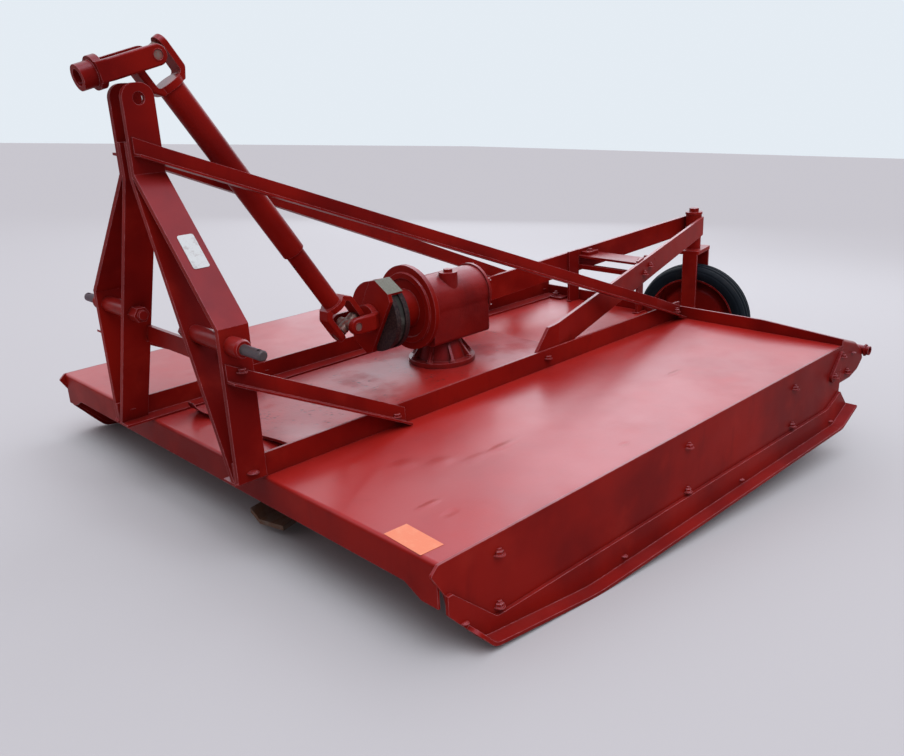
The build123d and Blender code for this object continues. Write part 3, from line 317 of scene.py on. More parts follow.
# How ragged and wide the spray's edge is, and between which limits a lug's face looks outward
sprayEdge = {"grain": 60, "stray": 0.012, "width": 0.01}
facingLimits = (0.9, 0.96)
enamels = {
    "redEnamel": redCoat,
    "deckEnamel": {**redCoat, "dents": dents, "rough": 0.26, "bump": 0.0005, "topCoat": 0.44,
                   "sunned": 0.4},
    "plateEnamel": {**redCoat, "shade": (0.07, 0.004, 0.004, 1), "pits": 2.0, "peel": 0.6, "rough": 0.28,
                    "bump": 0.001, "corners": 1.0, "craters": 0.7, "sunned": 0.34},
    "castEnamel": {**redCoat, "colour": (0.24, 0.009, 0.006, 1), "shade": (0.12, 0.005, 0.004, 1),
                   "bloom": (0.31, 0.024, 0.018, 1), "pits": 1.0, "peel": 1.1, "rough": 0.3, "wear": 0.65,
                   "corners": 1.0, "dust": 0.04, "bump": 0.0009, "topCoat": 0.5, "shine": 0.18},
    "lugEnamel": {**redCoat, "bareFacing": lugDirection, "bareTone": (0.2, 0.225, 0.17, 1), "rough": 0.26},
    "discEnamel": {**redCoat, "bareLeft": 0.004, "bareTone": (0.011, 0.01, 0.011, 1), "rough": 0.3},
    "pinEnamel": {**redCoat, "bareBeyond": pinShoulder, "bareTone": (0.065, 0.06, 0.062, 1), "rough": 0.26},
}


# Shallow dents at given places of the deck, as a height
def dentHeight(tree, spots):
    place = objectPlace(tree)
    total = 0.0
    for spot in spots:
        centre = deckToRow @ Vector((spot["along"], spot["across"], 0))
        spread = (mm * spot["long"], mm * spot["wide"], 1)
        offset = vectorMaths(tree, "SUBTRACT", place, centre)
        reach = vectorMaths(tree, "LENGTH", vectorMaths(tree, "DIVIDE", offset, spread), output="Value")
        near = rest(tree, ramp(tree, reach, 0.0, 1.0))
        total = maths(tree, "ADD", product(tree, near, spot["depth"]), total)
    return total


# 1 where the coat is missing: beyond a distance from the middle, on the machine's left of a line
# that the spray didn't cross, or on faces that look one way
def bareMask(tree, look):
    place = objectPlace(tree)
    across = addNode(tree, "ShaderNodeSeparateXYZ", inputs={0: place}).outputs[1]
    if "bareBeyond" in look:
        return maths(tree, "GREATER_THAN", maths(tree, "ABSOLUTE", across), look["bareBeyond"])
    if "bareLeft" in look:
        ragged = product(tree, noiseOf(tree, place, sprayEdge["grain"], detail=4), sprayEdge["stray"])
        return ramp(tree, maths(tree, "ADD", across, ragged), look["bareLeft"],
                    look["bareLeft"] + sprayEdge["width"])
    flat = addNode(tree, "ShaderNodeNewGeometry").outputs["True Normal"]
    return ramp(tree, vectorMaths(tree, "DOT_PRODUCT", flat, look["bareFacing"], "Value"), *facingLimits)


# What bare steel adds where the coat is missing, and how coarse its mill scale is
bareLook = {"scaleGrain": 210, "scale": (0.35, 0.7), "scaleShare": 0.6, "shine": 0.5, "metal": 0.55,
            "rough": 0.12}


# From an upright face's value to a level face's
def between(tree, flatness, upright, level):
    return maths(tree, "ADD", product(tree, flatness, level - upright), upright)


def enamelMaterial(name, look):
    material, tree, surface = newMaterial(name, {"Coat Roughness": 0.22, "IOR": 1.45, "Coat IOR": 1.5,
                                                 "Specular Tint": sheenTint})
    skin = useGroup(tree, paintSkin, Colour=look["colour"], Shade=look["shade"], Bloom=look["bloom"],
                    Pits=look["pits"], Peel=look["peel"], Craters=look["craters"])
    wear = useGroup(tree, edgeWear, Amount=look["wear"])
    cornersAndDust = useGroup(tree, grime, Corners=look["corners"], Dust=look["dust"], Reach=0.018)
    # Edges are painted pink as a painted highlight
    edgeLit = mixColour(tree, wear["Mask"], skin["Colour"], look["edge"])
    # Corners are darkened by ambient occlusion: dirt and painted shade
    shadedDirty = mixColour(tree, cornersAndDust["Corners"], edgeLit, shadeAndDirtTone)
    dusty = mixColour(tree, cornersAndDust["Dust"], shadedDirty, dustTone)
    closed = rest(tree, skin["Craters"])
    rough = maths(tree, "ADD", skin["Roughness"], look["rough"])
    rough = maths(tree, "ADD", rough, product(tree, cornersAndDust["Corners"], cornerRough), True)
    flatness = ramp(tree, upShare(tree), *levelLimits)
    # Faces that look up are painted a brighter red, as painted light from above, except in craters
    sunned = product(tree, flatness, look["sunned"])
    colour = mixColour(tree, product(tree, sunned, closed), dusty, topLightTone)
    coat = product(tree, between(tree, flatness, look["coat"], look["topCoat"]), closed)
    shine = between(tree, flatness, look["shine"], look["topShine"])
    height = skin["Height"]
    if "dents" in look:
        height = maths(tree, "ADD", height, product(tree, dentHeight(tree, look["dents"]), dentDepth))
    if "bareTone" in look:
        bare = bareMask(tree, look)
        flakes = noiseOf(tree, objectPlace(tree), bareLook["scaleGrain"], detail=5, roughness=0.7)
        scale = ramp(tree, flakes, *bareLook["scale"])
        tone = mixColour(tree, product(tree, scale, bareLook["scaleShare"]), look["bareTone"], bareSteel)
        colour = mixColour(tree, bare, colour, tone)
        coat = product(tree, coat, rest(tree, bare))
        shine = maths(tree, "MAXIMUM", shine, product(tree, bare, bareLook["shine"]))
        feed(tree, surface, Metallic=product(tree, bare, bareLook["metal"]))
        rough = maths(tree, "ADD", rough, product(tree, bare, bareLook["rough"]), True)
    bump = bumpOf(tree, height, bumpStrength, look["bump"], Normal=wear["Normal"])
    feed(tree, surface, Base_Color=colour, Roughness=rough, Coat_Weight=coat, Specular_IOR_Level=shine,
         Normal=bump)
    return material


steels = {
    "pinSteel": {"colour": (0.075, 0.06, 0.055, 1), "spots": (0.2, 0.05, 0.03, 1), "spotShare": 0.35,
                 "metal": 0.75, "rough": 0.38, "grain": 60, "bump": 0.0003},
    "jointSteel": {"colour": (0.2, 0.13, 0.11, 1), "spots": (0.27, 0.03, 0.02, 1), "spotShare": 0.8,
                   "metal": 0.5, "rough": 0.4, "grain": 90, "bump": 0.0003},
    "clutchBlack": {"colour": (0.012, 0.011, 0.012, 1), "spots": (0.05, 0.025, 0.018, 1), "spotShare": 0.45,
                    "metal": 0.2, "rough": 0.5, "grain": 45, "bump": 0.0005},
    "clutchLining": {"colour": (0.035, 0.037, 0.032, 1), "spots": (0.17, 0.18, 0.155, 1), "spotShare": 0.5,
                     "metal": 0.3, "rough": 0.55, "grain": 30, "bump": 0.0006},
    "wornSteel": {"colour": (0.16, 0.11, 0.085, 1), "spots": (0.11, 0.045, 0.02, 1), "spotShare": 0.9,
                  "metal": 0.45, "rough": 0.5, "grain": 25, "bump": 0.0006},
}
# Between which limits the spots show, how much rougher they are, and the finer grain among them
spotLook = {"limits": (0.42, 0.66), "rough": 0.25, "finer": 7, "fineShare": 0.5}


def steelMaterial(name, look):
    material, tree, surface = newMaterial(name, {"Specular IOR Level": 0.3})
    place = objectPlace(tree)
    coarse = noiseOf(tree, place, look["grain"], detail=5, roughness=0.65)
    spots = ramp(tree, coarse, *spotLook["limits"])
    fine = noiseOf(tree, place, look["grain"] * spotLook["finer"], roughness=0.6)
    share = product(tree, spots, look["spotShare"])
    wear = useGroup(tree, edgeWear, Amount=0.4, Width=0.0015)
    cornersAndDust = useGroup(tree, grime, Corners=0.8, Dust=0.04, Reach=0.02)
    spotted = mixColour(tree, share, look["colour"], look["spots"])
    # Corners are darkened by ambient occlusion: dirt and painted shade
    shadedDirty = mixColour(tree, cornersAndDust["Corners"], spotted, shadeAndDirtTone)
    dusty = mixColour(tree, cornersAndDust["Dust"], shadedDirty, dustTone)
    rough = maths(tree, "ADD", product(tree, spots, spotLook["rough"]), look["rough"])
    metal = product(tree, rest(tree, spots), look["metal"])
    height = maths(tree, "ADD", spots, product(tree, fine, spotLook["fineShare"]))
    bump = bumpOf(tree, height, bumpStrength, look["bump"], Normal=wear["Normal"])
    feed(tree, surface, Base_Color=dusty, Roughness=rough, Metallic=metal, Normal=bump)
    return material


tyreLook = {"colour": (0.005, 0.0075, 0.011, 1), "faded": (0.008, 0.011, 0.016, 1),
            "mud": (0.03, 0.026, 0.024, 1), "fadedScale": 9, "fadedLimits": (0.35, 0.7), "mudScale": 17,
            "mudLimits": (0.56, 0.75), "mudShare": 0.5, "crackScale": 150, "crackWidth": 0.06,
            "grain": 70, "rough": 0.5, "fadedRough": 0.2, "strength": 0.35, "bump": 0.0006}


def tyreMaterial(look):
    material, tree, surface = newMaterial("tyreRubber", {"Specular IOR Level": 0.07})
    place = objectPlace(tree)
    faded = ramp(tree, noiseOf(tree, place, look["fadedScale"], detail=4), *look["fadedLimits"])
    splashes = noiseOf(tree, place, look["mudScale"], detail=6, roughness=0.7, shift=(3, 1, 4))
    muddy = ramp(tree, splashes, *look["mudLimits"])
    cracks = addNode(tree, "ShaderNodeTexVoronoi", {"feature": "DISTANCE_TO_EDGE"},
                     {"Vector": place, "Scale": look["crackScale"]}).outputs["Distance"]
    cornersAndDust = useGroup(tree, grime, Corners=0.5, Dust=0.04, Reach=0.03)
    rubber = mixColour(tree, faded, look["colour"], look["faded"])
    muddied = mixColour(tree, product(tree, muddy, look["mudShare"]), rubber, look["mud"])
    dusty = mixColour(tree, cornersAndDust["Dust"], muddied, dustTone)
    rough = maths(tree, "ADD", product(tree, faded, look["fadedRough"]), look["rough"])
    height = maths(tree, "ADD", ramp(tree, cracks, 0.0, look["crackWidth"]),
                   noiseOf(tree, place, look["grain"]))
    feed(tree, surface, Base_Color=dusty, Roughness=rough,
         Normal=bumpOf(tree, height, look["strength"], look["bump"]))
    return material


# Blank labels: scuffed and stained in blots
labels = {
    "blankPlate": {"colour": (0.6, 0.63, 0.62, 1), "stain": (0.3, 0.25, 0.24, 1), "grain": 70, "share": 0.6,
                   "rough": 0.4},
    "orangeTag": {"colour": (0.8, 0.245, 0.135, 1), "stain": (0.84, 0.38, 0.24, 1), "grain": 45,
                  "share": 0.5, "rough": 0.65},
}
stainLook = {"blots": (0.48, 0.72), "finer": 6, "scuffs": (0.55, 0.75), "scuffShare": 0.35,
             "rough": 0.2, "strength": 0.3, "relief": 0.0004}


def labelMaterial(name, look):
    material, tree, surface = newMaterial(name, {"IOR": 1.45})
    place = objectPlace(tree)
    cloud = noiseOf(tree, place, look["grain"], detail=6, roughness=0.7)
    blots = ramp(tree, cloud, *stainLook["blots"])
    scratches = noiseOf(tree, place, look["grain"] * stainLook["finer"], roughness=0.6, stretch=(1, 0.2, 1))
    scuffs = ramp(tree, scratches, *stainLook["scuffs"])
    cornersAndDust = useGroup(tree, grime, Corners=0.9, Dust=0.1, Reach=0.006)
    stained = mixColour(tree, product(tree, blots, look["share"]), look["colour"], look["stain"])
    scuffed = mixColour(tree, product(tree, scuffs, stainLook["scuffShare"]), stained, look["stain"])
    # Corners are darkened by ambient occlusion: dirt and painted shade
    shadedDirty = mixColour(tree, cornersAndDust["Corners"], scuffed, shadeAndDirtTone)
    rough = maths(tree, "ADD", product(tree, blots, stainLook["rough"]), look["rough"])
    feed(tree, surface, Base_Color=shadedDirty, Roughness=rough,
         Normal=bumpOf(tree, blots, stainLook["strength"], stainLook["relief"]))
    return material


materials = {name: enamelMaterial(name, look) for name, look in enamels.items()}
materials.update({name: steelMaterial(name, look) for name, look in steels.items()})
materials.update({name: labelMaterial(name, look) for name, look in labels.items()})
materials["tyreRubber"] = tyreMaterial(tyreLook)
print("materials made:", len(materials))

# Every CAD node takes its own finish, or else the one named like its slot in the record
ownFinish = {"deck": "deckEnamel", "gearbox_plate": "plateEnamel", "clutch_plate": "lugEnamel",
             "clutch_discs": "discEnamel", "hitch_pin_left": "pinEnamel", "hitch_pin_right": "pinEnamel"}


def slotFinish(slotName):
    first, *others = slotName.split("_")
    return first + "".join(word.capitalize() for word in others)


nodeSlot = {row["node"]: row["material_slot"] for row in frame["record"]["subparts"]}
for name, cadNode in frame["nodes"].items():
    cadNode.data.materials.clear()
    cadNode.data.materials.append(materials[ownFinish.get(name, slotFinish(nodeSlot[name]))])
print("CAD nodes finished")


# A finished piece: a mesh in the row frame that rides on a body
def addPiece(name, mesh, body, finish=None):
    piece = bpy.data.objects.new(name, mesh)
    scene.collection.objects.link(piece)
    if finish:
        mesh.materials.append(materials[finish])
    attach(piece, body)
    return piece


def meshOf(name, points, faces, smooth=False):
    mesh = bpy.data.meshes.new(name)
    mesh.from_pydata([tuple(p) for p in points], [], faces)
    shape = bmesh.new()
    shape.from_mesh(mesh)
    bmesh.ops.recalc_face_normals(shape, faces=shape.faces)
    shape.to_mesh(mesh)
    shape.free()
    if smooth:
        mesh.shade_smooth()
    else:
        mesh.shade_flat()
    return mesh


# The mesh that a group makes of given points or lines, kept once the modifier is gone
def runNodes(name, group, given, settings):
    source = bpy.data.objects.new(name, given)
    scene.collection.objects.link(source)
    modifier = source.modifiers.new("shape", "NODES")
    modifier.node_group = group
    sockets = {item.name: item.identifier for item in group.interface.items_tree
               if item.item_type == "SOCKET" and item.in_out == "INPUT"}
    for label, value in settings.items():
        modifier[sockets[label]] = value
    ready = source.evaluated_get(bpy.context.evaluated_depsgraph_get())
    made = bpy.data.meshes.new_from_object(ready)
    bpy.data.objects.remove(source)
    made.name = name
    return made


# Bolts: each form is a stack of cones in units of the head's corner radius
coneColumns = ("sides", "low", "high", "height", "foot")
boltForms = {
    "hexHead": [(28, 1.3, 1.26, 0.2, 0), (6, 1.0, 1.0, 0.55, 0.2), (6, 1.0, 0.84, 0.1, 0.75)],
    "nutStud": [(28, 1.36, 1.3, 0.2, 0), (6, 1.0, 1.0, 0.62, 0.2), (6, 1.0, 0.84, 0.1, 0.82),
                (16, 0.52, 0.52, 0.42, 0.9), (16, 0.52, 0.4, 0.08, 1.32)],
    "roundHead": [(28, 1.15, 1.05, 0.16, 0), (28, 1.05, 0.74, 0.18, 0.16), (28, 0.74, 0.3, 0.1, 0.34)],
    "greaser": [(6, 0.8, 0.8, 0.7, 0), (14, 0.5, 0.5, 0.5, 0.7), (14, 0.62, 0.35, 0.6, 1.2)],
}
formNumber = {name: number for number, name in enumerate(boltForms)}
boltSeed = 3


def finishedWith(group, shape, finish):
    return outNode(group, "GeometryNodeSetMaterial", inputs={"Geometry": shape, "Material": finish})


def makeBoltGroup(forms):
    group, given, out = newGroup("boltSet", "GeometryNodeTree", [
        ("Places", "Geometry", None), ("Finish", "Material", None),
        ("Seed", "Int", boltSeed)], [("Pieces", "Geometry")])

    def named(label, kind):
        return outNode(group, "GeometryNodeInputNamedAttribute", {"data_type": kind},
                       {"Name": label})

    upright = outNode(group, "FunctionNodeAlignRotationToVector", {"axis": "Z"},
                      {"Vector": named("facing", "FLOAT_VECTOR")})
    angle = addNode(group, "FunctionNodeRandomValue", {"data_type": "FLOAT"},
                    {2: 0.0, 3: math.tau, "Seed": given["Seed"]}).outputs[1]
    spin = outNode(group, "FunctionNodeAxisAngleToRotation",
                   inputs={"Axis": (0, 0, 1), "Angle": angle})
    turned = outNode(group, "FunctionNodeRotateRotation", {"rotation_space": "LOCAL"},
                     {0: upright, 1: spin})
    form, size = named("form", "INT"), named("size", "FLOAT")
    everything = addNode(group, "GeometryNodeJoinGeometry")
    for number, rows in enumerate(forms.values()):
        shape = addNode(group, "GeometryNodeJoinGeometry")
        for row in rows:
            cone = dict(zip(coneColumns, row))
            body = addNode(group, "GeometryNodeMeshCone", inputs={
                "Vertices": cone["sides"], "Radius Bottom": cone["low"], "Radius Top": cone["high"],
                "Depth": cone["height"]}).outputs["Mesh"]
            lifted = outNode(group, "GeometryNodeTransform",
                             inputs={"Geometry": body, "Translation": (0, 0, cone["foot"])})
            group.links.new(lifted, shape.inputs[0])
        chosen = outNode(group, "FunctionNodeCompare", {"data_type": "INT", "operation": "EQUAL"},
                         {2: form, 3: number})
        placed = outNode(group, "GeometryNodeInstanceOnPoints", inputs={
            "Points": given["Places"], "Selection": chosen, "Instance": shape.outputs[0],
            "Rotation": turned, "Scale": size})
        group.links.new(placed, everything.inputs[0])
    solid = outNode(group, "GeometryNodeRealizeInstances", inputs={"Geometry": everything.outputs[0]})
    feed(group, out, Pieces=finishedWith(group, solid, given["Finish"]))
    return group


armTurn = math.radians(11.57)
armFacing = (-math.sin(armTurn), math.cos(armTurn), 0)
boltColumns = ("spot", "facing", "size", "form")
outward, inward, upward, rearward = (0, 1, 0), (0, -1, 0), (0, 0, 1), (-1, 0, 0)
# Paired bolts stand on the machine's left side and again, mirrored, on its right
pairedBolts = [
    ((-151, 832, -44), outward, 10, "nutStud"), ((-147, 832, -154), outward, 10, "nutStud"),
    ((-798, 832, -46), outward, 10, "nutStud"), ((-800, 832, -160), outward, 10, "nutStud"),
    ((-1329, 832, -52), outward, 10, "nutStud"), ((-1328, 832, -160), outward, 10, "nutStud"),
    ((-49, 840, -137), outward, 8, "roundHead"), ((-537, 840, -215), outward, 8, "roundHead"),
    ((-1045, 840, -216), outward, 8, "roundHead"), ((-1564, 840, -216), outward, 8, "roundHead"),
    ((-942, 285, 27), outward, 11, "hexHead"), ((34, 297, 26), outward, 13, "roundHead"),
    ((42, 267, 38), inward, 12, "nutStud"), ((-1594, 290, 24), outward, 11, "nutStud"),
    ((32, 302, 250), outward, 10, "hexHead"), ((-372, 290, 26), outward, 10, "hexHead"),
    ((-1649, 146.8, 150), armFacing, 11, "nutStud"), ((-1602, 156.6, 132), armFacing, 11, "nutStud"),
    ((-1594, 225, 8), upward, 12, "nutStud"), ((-1664, 121, 176), upward, 9, "hexHead"),
    ((-1566, 840, -82), outward, 10, "nutStud"), ((-1612, 840, -30), outward, 9, "hexHead"),
    ((-1668, 832, -96), outward, 11, "nutStud"), ((-1700, 832, -40), outward, 9, "roundHead"),
]
crossGreaser = [{"spot": (-463, 16, 190), "facing": outward, "size": 4, "form": "greaser"}]
gearAxis = {"along": -797, "height": 190}
baseBolts = {"count": 8, "radius": 86, "top": 22, "size": 8, "form": "hexHead"}
capBolts = {"count": 6, "radius": 73, "face": -936.5, "size": 8, "form": "hexHead"}


# Places round a circle, beginning half a step in unless told otherwise
def ringOf(count, radius, first=0.5):
    for number in range(count):
        angle = math.tau * (number + first) / count
        yield radius * math.cos(angle), radius * math.sin(angle)


def frameBolts():
    rows = [dict(zip(boltColumns, row)) for row in pairedBolts]
    for row in list(rows):
        (x, y, z), (a, b, c) = row["spot"], row["facing"]
        rows.append({**row, "spot": (x, -y, z), "facing": (a, -b, c)})
    for x, y in ringOf(baseBolts["count"], baseBolts["radius"]):
        rows.append({**baseBolts, "spot": (gearAxis["along"] + x, y, baseBolts["top"]), "facing": upward})
    for y, z in ringOf(capBolts["count"], capBolts["radius"]):
        rows.append({**capBolts, "spot": (capBolts["face"], y, gearAxis["height"] + z), "facing": rearward})
    return rows


def makeBolts(name, group, rows, body, slotName):
    spots = bpy.data.meshes.new(name + "Spots")
    spots.from_pydata([tuple(deckToRow @ Vector(row["spot"])) for row in rows], [], [])
    facing = spots.attributes.new("facing", "FLOAT_VECTOR", "POINT")
    size = spots.attributes.new("size", "FLOAT", "POINT")
    form = spots.attributes.new("form", "INT", "POINT")
    for number, row in enumerate(rows):
        facing.data[number].vector = deckTurn @ Vector(row["facing"])
        size.data[number].value = mm * row["size"]
        form.data[number].value = formNumber[row["form"]]
    made = runNodes(name, group, spots, {"Finish": materials[slotFinish(slotName)], "Seed": boltSeed})
    return addPiece(name, made, body)


boltSet = makeBoltGroup(boltForms)
makeBolts("frame_bolts", boltSet, frameBolts(), "frame", "red_enamel")
makeBolts("cross_greaser", boltSet, crossGreaser, "inner_shaft", "joint_steel")
print("bolts made")


# Weld beads: uneven round strings along given lines, in metres
beadLook = {"step": 0.003, "radius": 0.0035, "sides": 8, "swell": (0.7, 1.15),
            "stray": ((-0.0006, -0.0006, -0.0003), (0.0006, 0.0006, 0.0006)), "seed": 5}


def makeWeldGroup(look):
    group, given, out = newGroup("weldBeads", "GeometryNodeTree", [
        ("Lines", "Geometry", None), ("Finish", "Material", None),
        ("Step", "Float", look["step"]), ("Radius", "Float", look["radius"]),
        ("Seed", "Int", look["seed"])], [("Beads", "Geometry")])
    curve = outNode(group, "GeometryNodeMeshToCurve", inputs={"Mesh": given["Lines"]})
    even = outNode(group, "GeometryNodeResampleCurve", {"mode": "LENGTH"},
                   {"Curve": curve, "Length": given["Step"]})
    stray = outNode(group, "FunctionNodeRandomValue", {"data_type": "FLOAT_VECTOR"},
                    {0: look["stray"][0], 1: look["stray"][1], "Seed": given["Seed"]})
    moved = outNode(group, "GeometryNodeSetPosition", inputs={"Geometry": even, "Offset": stray})
    swell = addNode(group, "FunctionNodeRandomValue", {"data_type": "FLOAT"},
                    {2: look["swell"][0], 3: look["swell"][1], "Seed": given["Seed"]}).outputs[1]
    profile = outNode(group, "GeometryNodeCurvePrimitiveCircle",
                      inputs={"Resolution": look["sides"], "Radius": given["Radius"]})
    bead = outNode(group, "GeometryNodeCurveToMesh", inputs={
        "Curve": moved, "Profile Curve": profile, "Scale": swell, "Fill Caps": True})
    smooth = outNode(group, "GeometryNodeSetShadeSmooth", inputs={"Geometry": bead})
    feed(group, out, Beads=finishedWith(group, smooth, given["Finish"]))
    return group


# Straight beads from one place to another, and a row of short ones along the gearbox plate's side,
# stand on the left and again, mirrored, on the right. One goes round each end of the guard pipe.
weldColumns = ("start", "end")
pairedWelds = [((-1618, 152, 2), (-1572, 152, 2)), ((-1571, 134, 2), (-1571, 151, 2)),
               ((70, 285, 3), (70, 297, 10)), ((11, 168, 226), (11, 184, 264)),
               ((-1619, 236, 2), (-1619, 284, 2))]
plateWelds = {"first": -190, "last": -1040, "pitch": 170, "length": 48, "across": 216, "height": 2}
pipeWeld = {"along": -1793.7, "height": -55, "radius": 15.5, "across": 833, "points": 24}


def weldLines(row, pipe):
    lines = [dict(zip(weldColumns, line)) for line in pairedWelds]
    for x in range(row["first"], row["last"], -row["pitch"]):
        lines.append({"start": (x, row["across"], row["height"]),
                      "end": (x - row["length"], row["across"], row["height"])})
    points, edges = [], []
    for line in lines:
        for side in (1, -1):
            edges.append((len(points), len(points) + 1))
            points += [(x, side * y, z) for x, y, z in (line["start"], line["end"])]
    for side in (1, -1):
        first, around = len(points), pipe["points"]
        points += [(pipe["along"] + x, side * pipe["across"], pipe["height"] + z)
                   for x, z in ringOf(around, pipe["radius"])]
        edges += [(first + n, first + (n + 1) % around) for n in range(around)]
    mesh = bpy.data.meshes.new("weldLines")
    mesh.from_pydata([tuple(deckToRow @ Vector(p)) for p in points], edges, [])
    return mesh


beads = runNodes("frame_welds", makeWeldGroup(beadLook), weldLines(plateWelds, pipeWeld),
                 {"Finish": materials["redEnamel"], "Seed": beadLook["seed"]})
addPiece("frame_welds", beads, "frame")
print("welds made")


def roundedRect(length, width, corner, steps=5):
    points = []
    for quarter, (a, b) in enumerate(((1, 1), (-1, 1), (-1, -1), (1, -1))):
        for step in range(steps + 1):
            angle = math.radians(90 * quarter + 90 * step / steps)
            points.append((a * (length / 2 - corner) + corner * math.cos(angle),
                           b * (width / 2 - corner) + corner * math.sin(angle)))
    return points


# A slab's bevel in millimetres, never more than a share of its thickness
slabBevel = {"most": 1.0, "share": 0.3}


def slabMesh(name, look, mirror=False):
    along, facing = Vector(look["along"]).normalized(), Vector(look["facing"]).normalized()
    across = facing.cross(along)
    bevel = min(slabBevel["most"], slabBevel["share"] * look["thick"])
    rings = ((0, 0), (look["thick"] - bevel, 0), (look["thick"], bevel))
    points = []
    for lift, inset in rings:
        outline = roundedRect(look["length"] - 2 * inset, look["width"] - 2 * inset, look["corner"])
        points += [Vector(look["spot"]) + u * along + v * across + lift * facing for u, v in outline]
    if mirror:
        points = [Vector((p.x, -p.y, p.z)) for p in points]
    count = len(points) // len(rings)
    faces = [list(range(count)), list(range(2 * count, 3 * count))]
    for ring in range(len(rings) - 1):
        for n in range(count):
            m = (n + 1) % count
            low, high = ring * count, (ring + 1) * count
            faces.append([low + n, low + m, high + m, high + n])
    return meshOf(name, [deckToRow @ p for p in points], faces)


# Flat slabs with rounded corners and a bevelled outer edge: centre, direction of the length,
# direction the face looks, length, width, thickness, corner radius in millimetres
mastSlope = Vector((0, -262, 289)).normalized()
slabs = {
    "data_plate": {"spot": (33, 172.3, 484.2), "along": mastSlope, "facing": (0, 289, 262), "length": 84,
                   "width": 37, "thick": 0.9, "corner": 5, "finish": "blankPlate", "pair": False},
    "tag": {"spot": (-33, 731, 0.2), "along": (0.06, 1, 0), "facing": upward, "length": 110,
            "width": 54, "thick": 0.5, "corner": 1.5, "finish": "orangeTag", "pair": False},
    "hood_strap": {"spot": (-1589, 832, -56), "along": (-46, 0, 52), "facing": outward, "length": 98,
                   "width": 30, "thick": 8, "corner": 12, "finish": "redEnamel", "pair": True},
    "tie_block": {"spot": (-1664, 121, 164), "along": (1, 0, 0), "facing": upward, "length": 58,
                  "width": 34, "thick": 12, "corner": 3, "finish": "redEnamel", "pair": True},
    "foot_lug": {"spot": (-1594, 225, 0), "along": (0, 1, 0), "facing": upward, "length": 78,
                 "width": 44, "thick": 8, "corner": 5, "finish": "redEnamel", "pair": True},
}
for name, look in slabs.items():
    sides = {"_left": False, "_right": True} if look["pair"] else {"": False}
    for ending, mirror in sides.items():
        slab = slabMesh(name + ending, look, mirror)
        addPiece(name + ending, slab, "frame", look["finish"])
print("slabs made")

# The gearbox plate's front edge has lifted off the deck near the left rail, and a corner is torn up.
# The underside stands a little off the deck, and the top is uneven by the wave.
gearPlate = {"front": -110, "back": -1100, "half": 215, "under": 0.15, "thick": 8, "cells": (110, 48),
             "lift": 15, "liftLength": 150, "liftFrom": 40, "wave": 0.5, "waveLength": (130, 90)}


def smoothStep(value):
    value = min(1, max(0, value))
    return value * value * (3 - 2 * value)


# The two sides and the rim of a sheet, whose points run row by row and one side after the other
def sheetFaces(rows, columns):
    wide = columns + 1
    layer = wide * (rows + 1)
    faces = []
    for i in range(rows):
        for j in range(columns):
            a, b = i * wide + j, (i + 1) * wide + j
            faces.append([layer + a, layer + b, layer + b + 1, layer + a + 1])
            faces.append([a, a + 1, b + 1, b])
    rim = [i * wide for i in range(rows)] + [rows * wide + j for j in range(columns)] \
        + [i * wide + columns for i in range(rows, 0, -1)] + list(range(columns, 0, -1))
    faces += [[a, b, layer + b, layer + a] for a, b in zip(rim, rim[1:] + rim[:1])]
    return faces


def makeGearPlate(look):
    rows, columns = look["cells"]
    waveLong, waveWide = look["waveLength"]
    points = []
    for height, wave in ((look["under"], 0), (look["thick"], look["wave"])):
        for i in range(rows + 1):
            x = look["back"] + (look["front"] - look["back"]) * i / rows
            for j in range(columns + 1):
                y = look["half"] * (2 * j / columns - 1)
                rise = look["lift"] * smoothStep((x - look["front"]) / look["liftLength"] + 1) \
                    * smoothStep((y - look["liftFrom"]) / (look["half"] - look["liftFrom"]))
                buckle = wave * (noise.noise(Vector((x / waveLong, y / waveWide, 1))) - 1)
                points.append(deckToRow @ Vector((x, y, height + rise + buckle)))
    mesh = meshOf("buckled_plate", points, sheetFaces(rows, columns))
    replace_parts(addPiece("buckled_plate", mesh, "frame", "plateEnamel"), "gearbox_plate")


# A strip of sheet torn up from the plate's front edge: it curls from the start's slope to the end's,
# narrows about a fixed share of its width and ends ragged
tearLook = {"root": (-112, -206, 8.3), "width": 96, "length": 52, "thick": 2.2, "rows": 14, "columns": 16,
            "start": 4, "end": 82, "narrows": 0.75, "about": 0.3, "ragged": 0.3, "raggedScale": 5}


def makeTear(look):
    points, step = [], look["length"] / look["rows"]
    for thick in (0, look["thick"]):
        x, z = 0.0, 0.0
        for i in range(look["rows"] + 1):
            share = i / look["rows"]
            slope = math.radians(look["start"] + (look["end"] - look["start"]) * share)
            for j in range(look["columns"] + 1):
                across = j / look["columns"]
                grain = noise.noise(Vector((across * look["raggedScale"], 2, share)))
                reach = 1 + look["ragged"] * share * grain
                spread = (1 - look["narrows"] * share) * (across - look["about"]) + look["about"]
                offset = Vector((x * reach - thick * math.sin(slope), look["width"] * spread,
                                 z * reach + thick * math.cos(slope)))
                points.append(deckToRow @ (Vector(look["root"]) + offset))
            x += step * math.cos(slope)
            z += step * math.sin(slope)
    mesh = meshOf("torn_corner", points, sheetFaces(look["rows"], look["columns"]), True)
    addPiece("torn_corner", mesh, "frame", "plateEnamel")


makeGearPlate(gearPlate)
makeTear(tearLook)
print("buckled plate made")

# Snap rings round the bearing caps of both universal joints
lowerCross, upperCross = Vector((-463, 0, 190)), Vector((-30, -30, 868))
levelLine = Vector((0, 1, 0))
earLine = levelLine.cross((upperCross - lowerCross).normalized())
snapRing = {"ear": 50, "radius": 11.6, "tube": 1.3, "steps": 28, "sides": 8}
jointEars = [
    {"name": "snap_rings_clutch", "body": "frame", "centre": lowerCross, "line": levelLine},
    {"name": "snap_rings_inner", "body": "inner_shaft", "centre": lowerCross, "line": earLine},
    {"name": "snap_rings_outer", "body": "outer_shaft", "centre": upperCross, "line": earLine},
    {"name": "snap_rings_tractor", "body": "pto_yoke", "centre": upperCross, "line": levelLine},
]


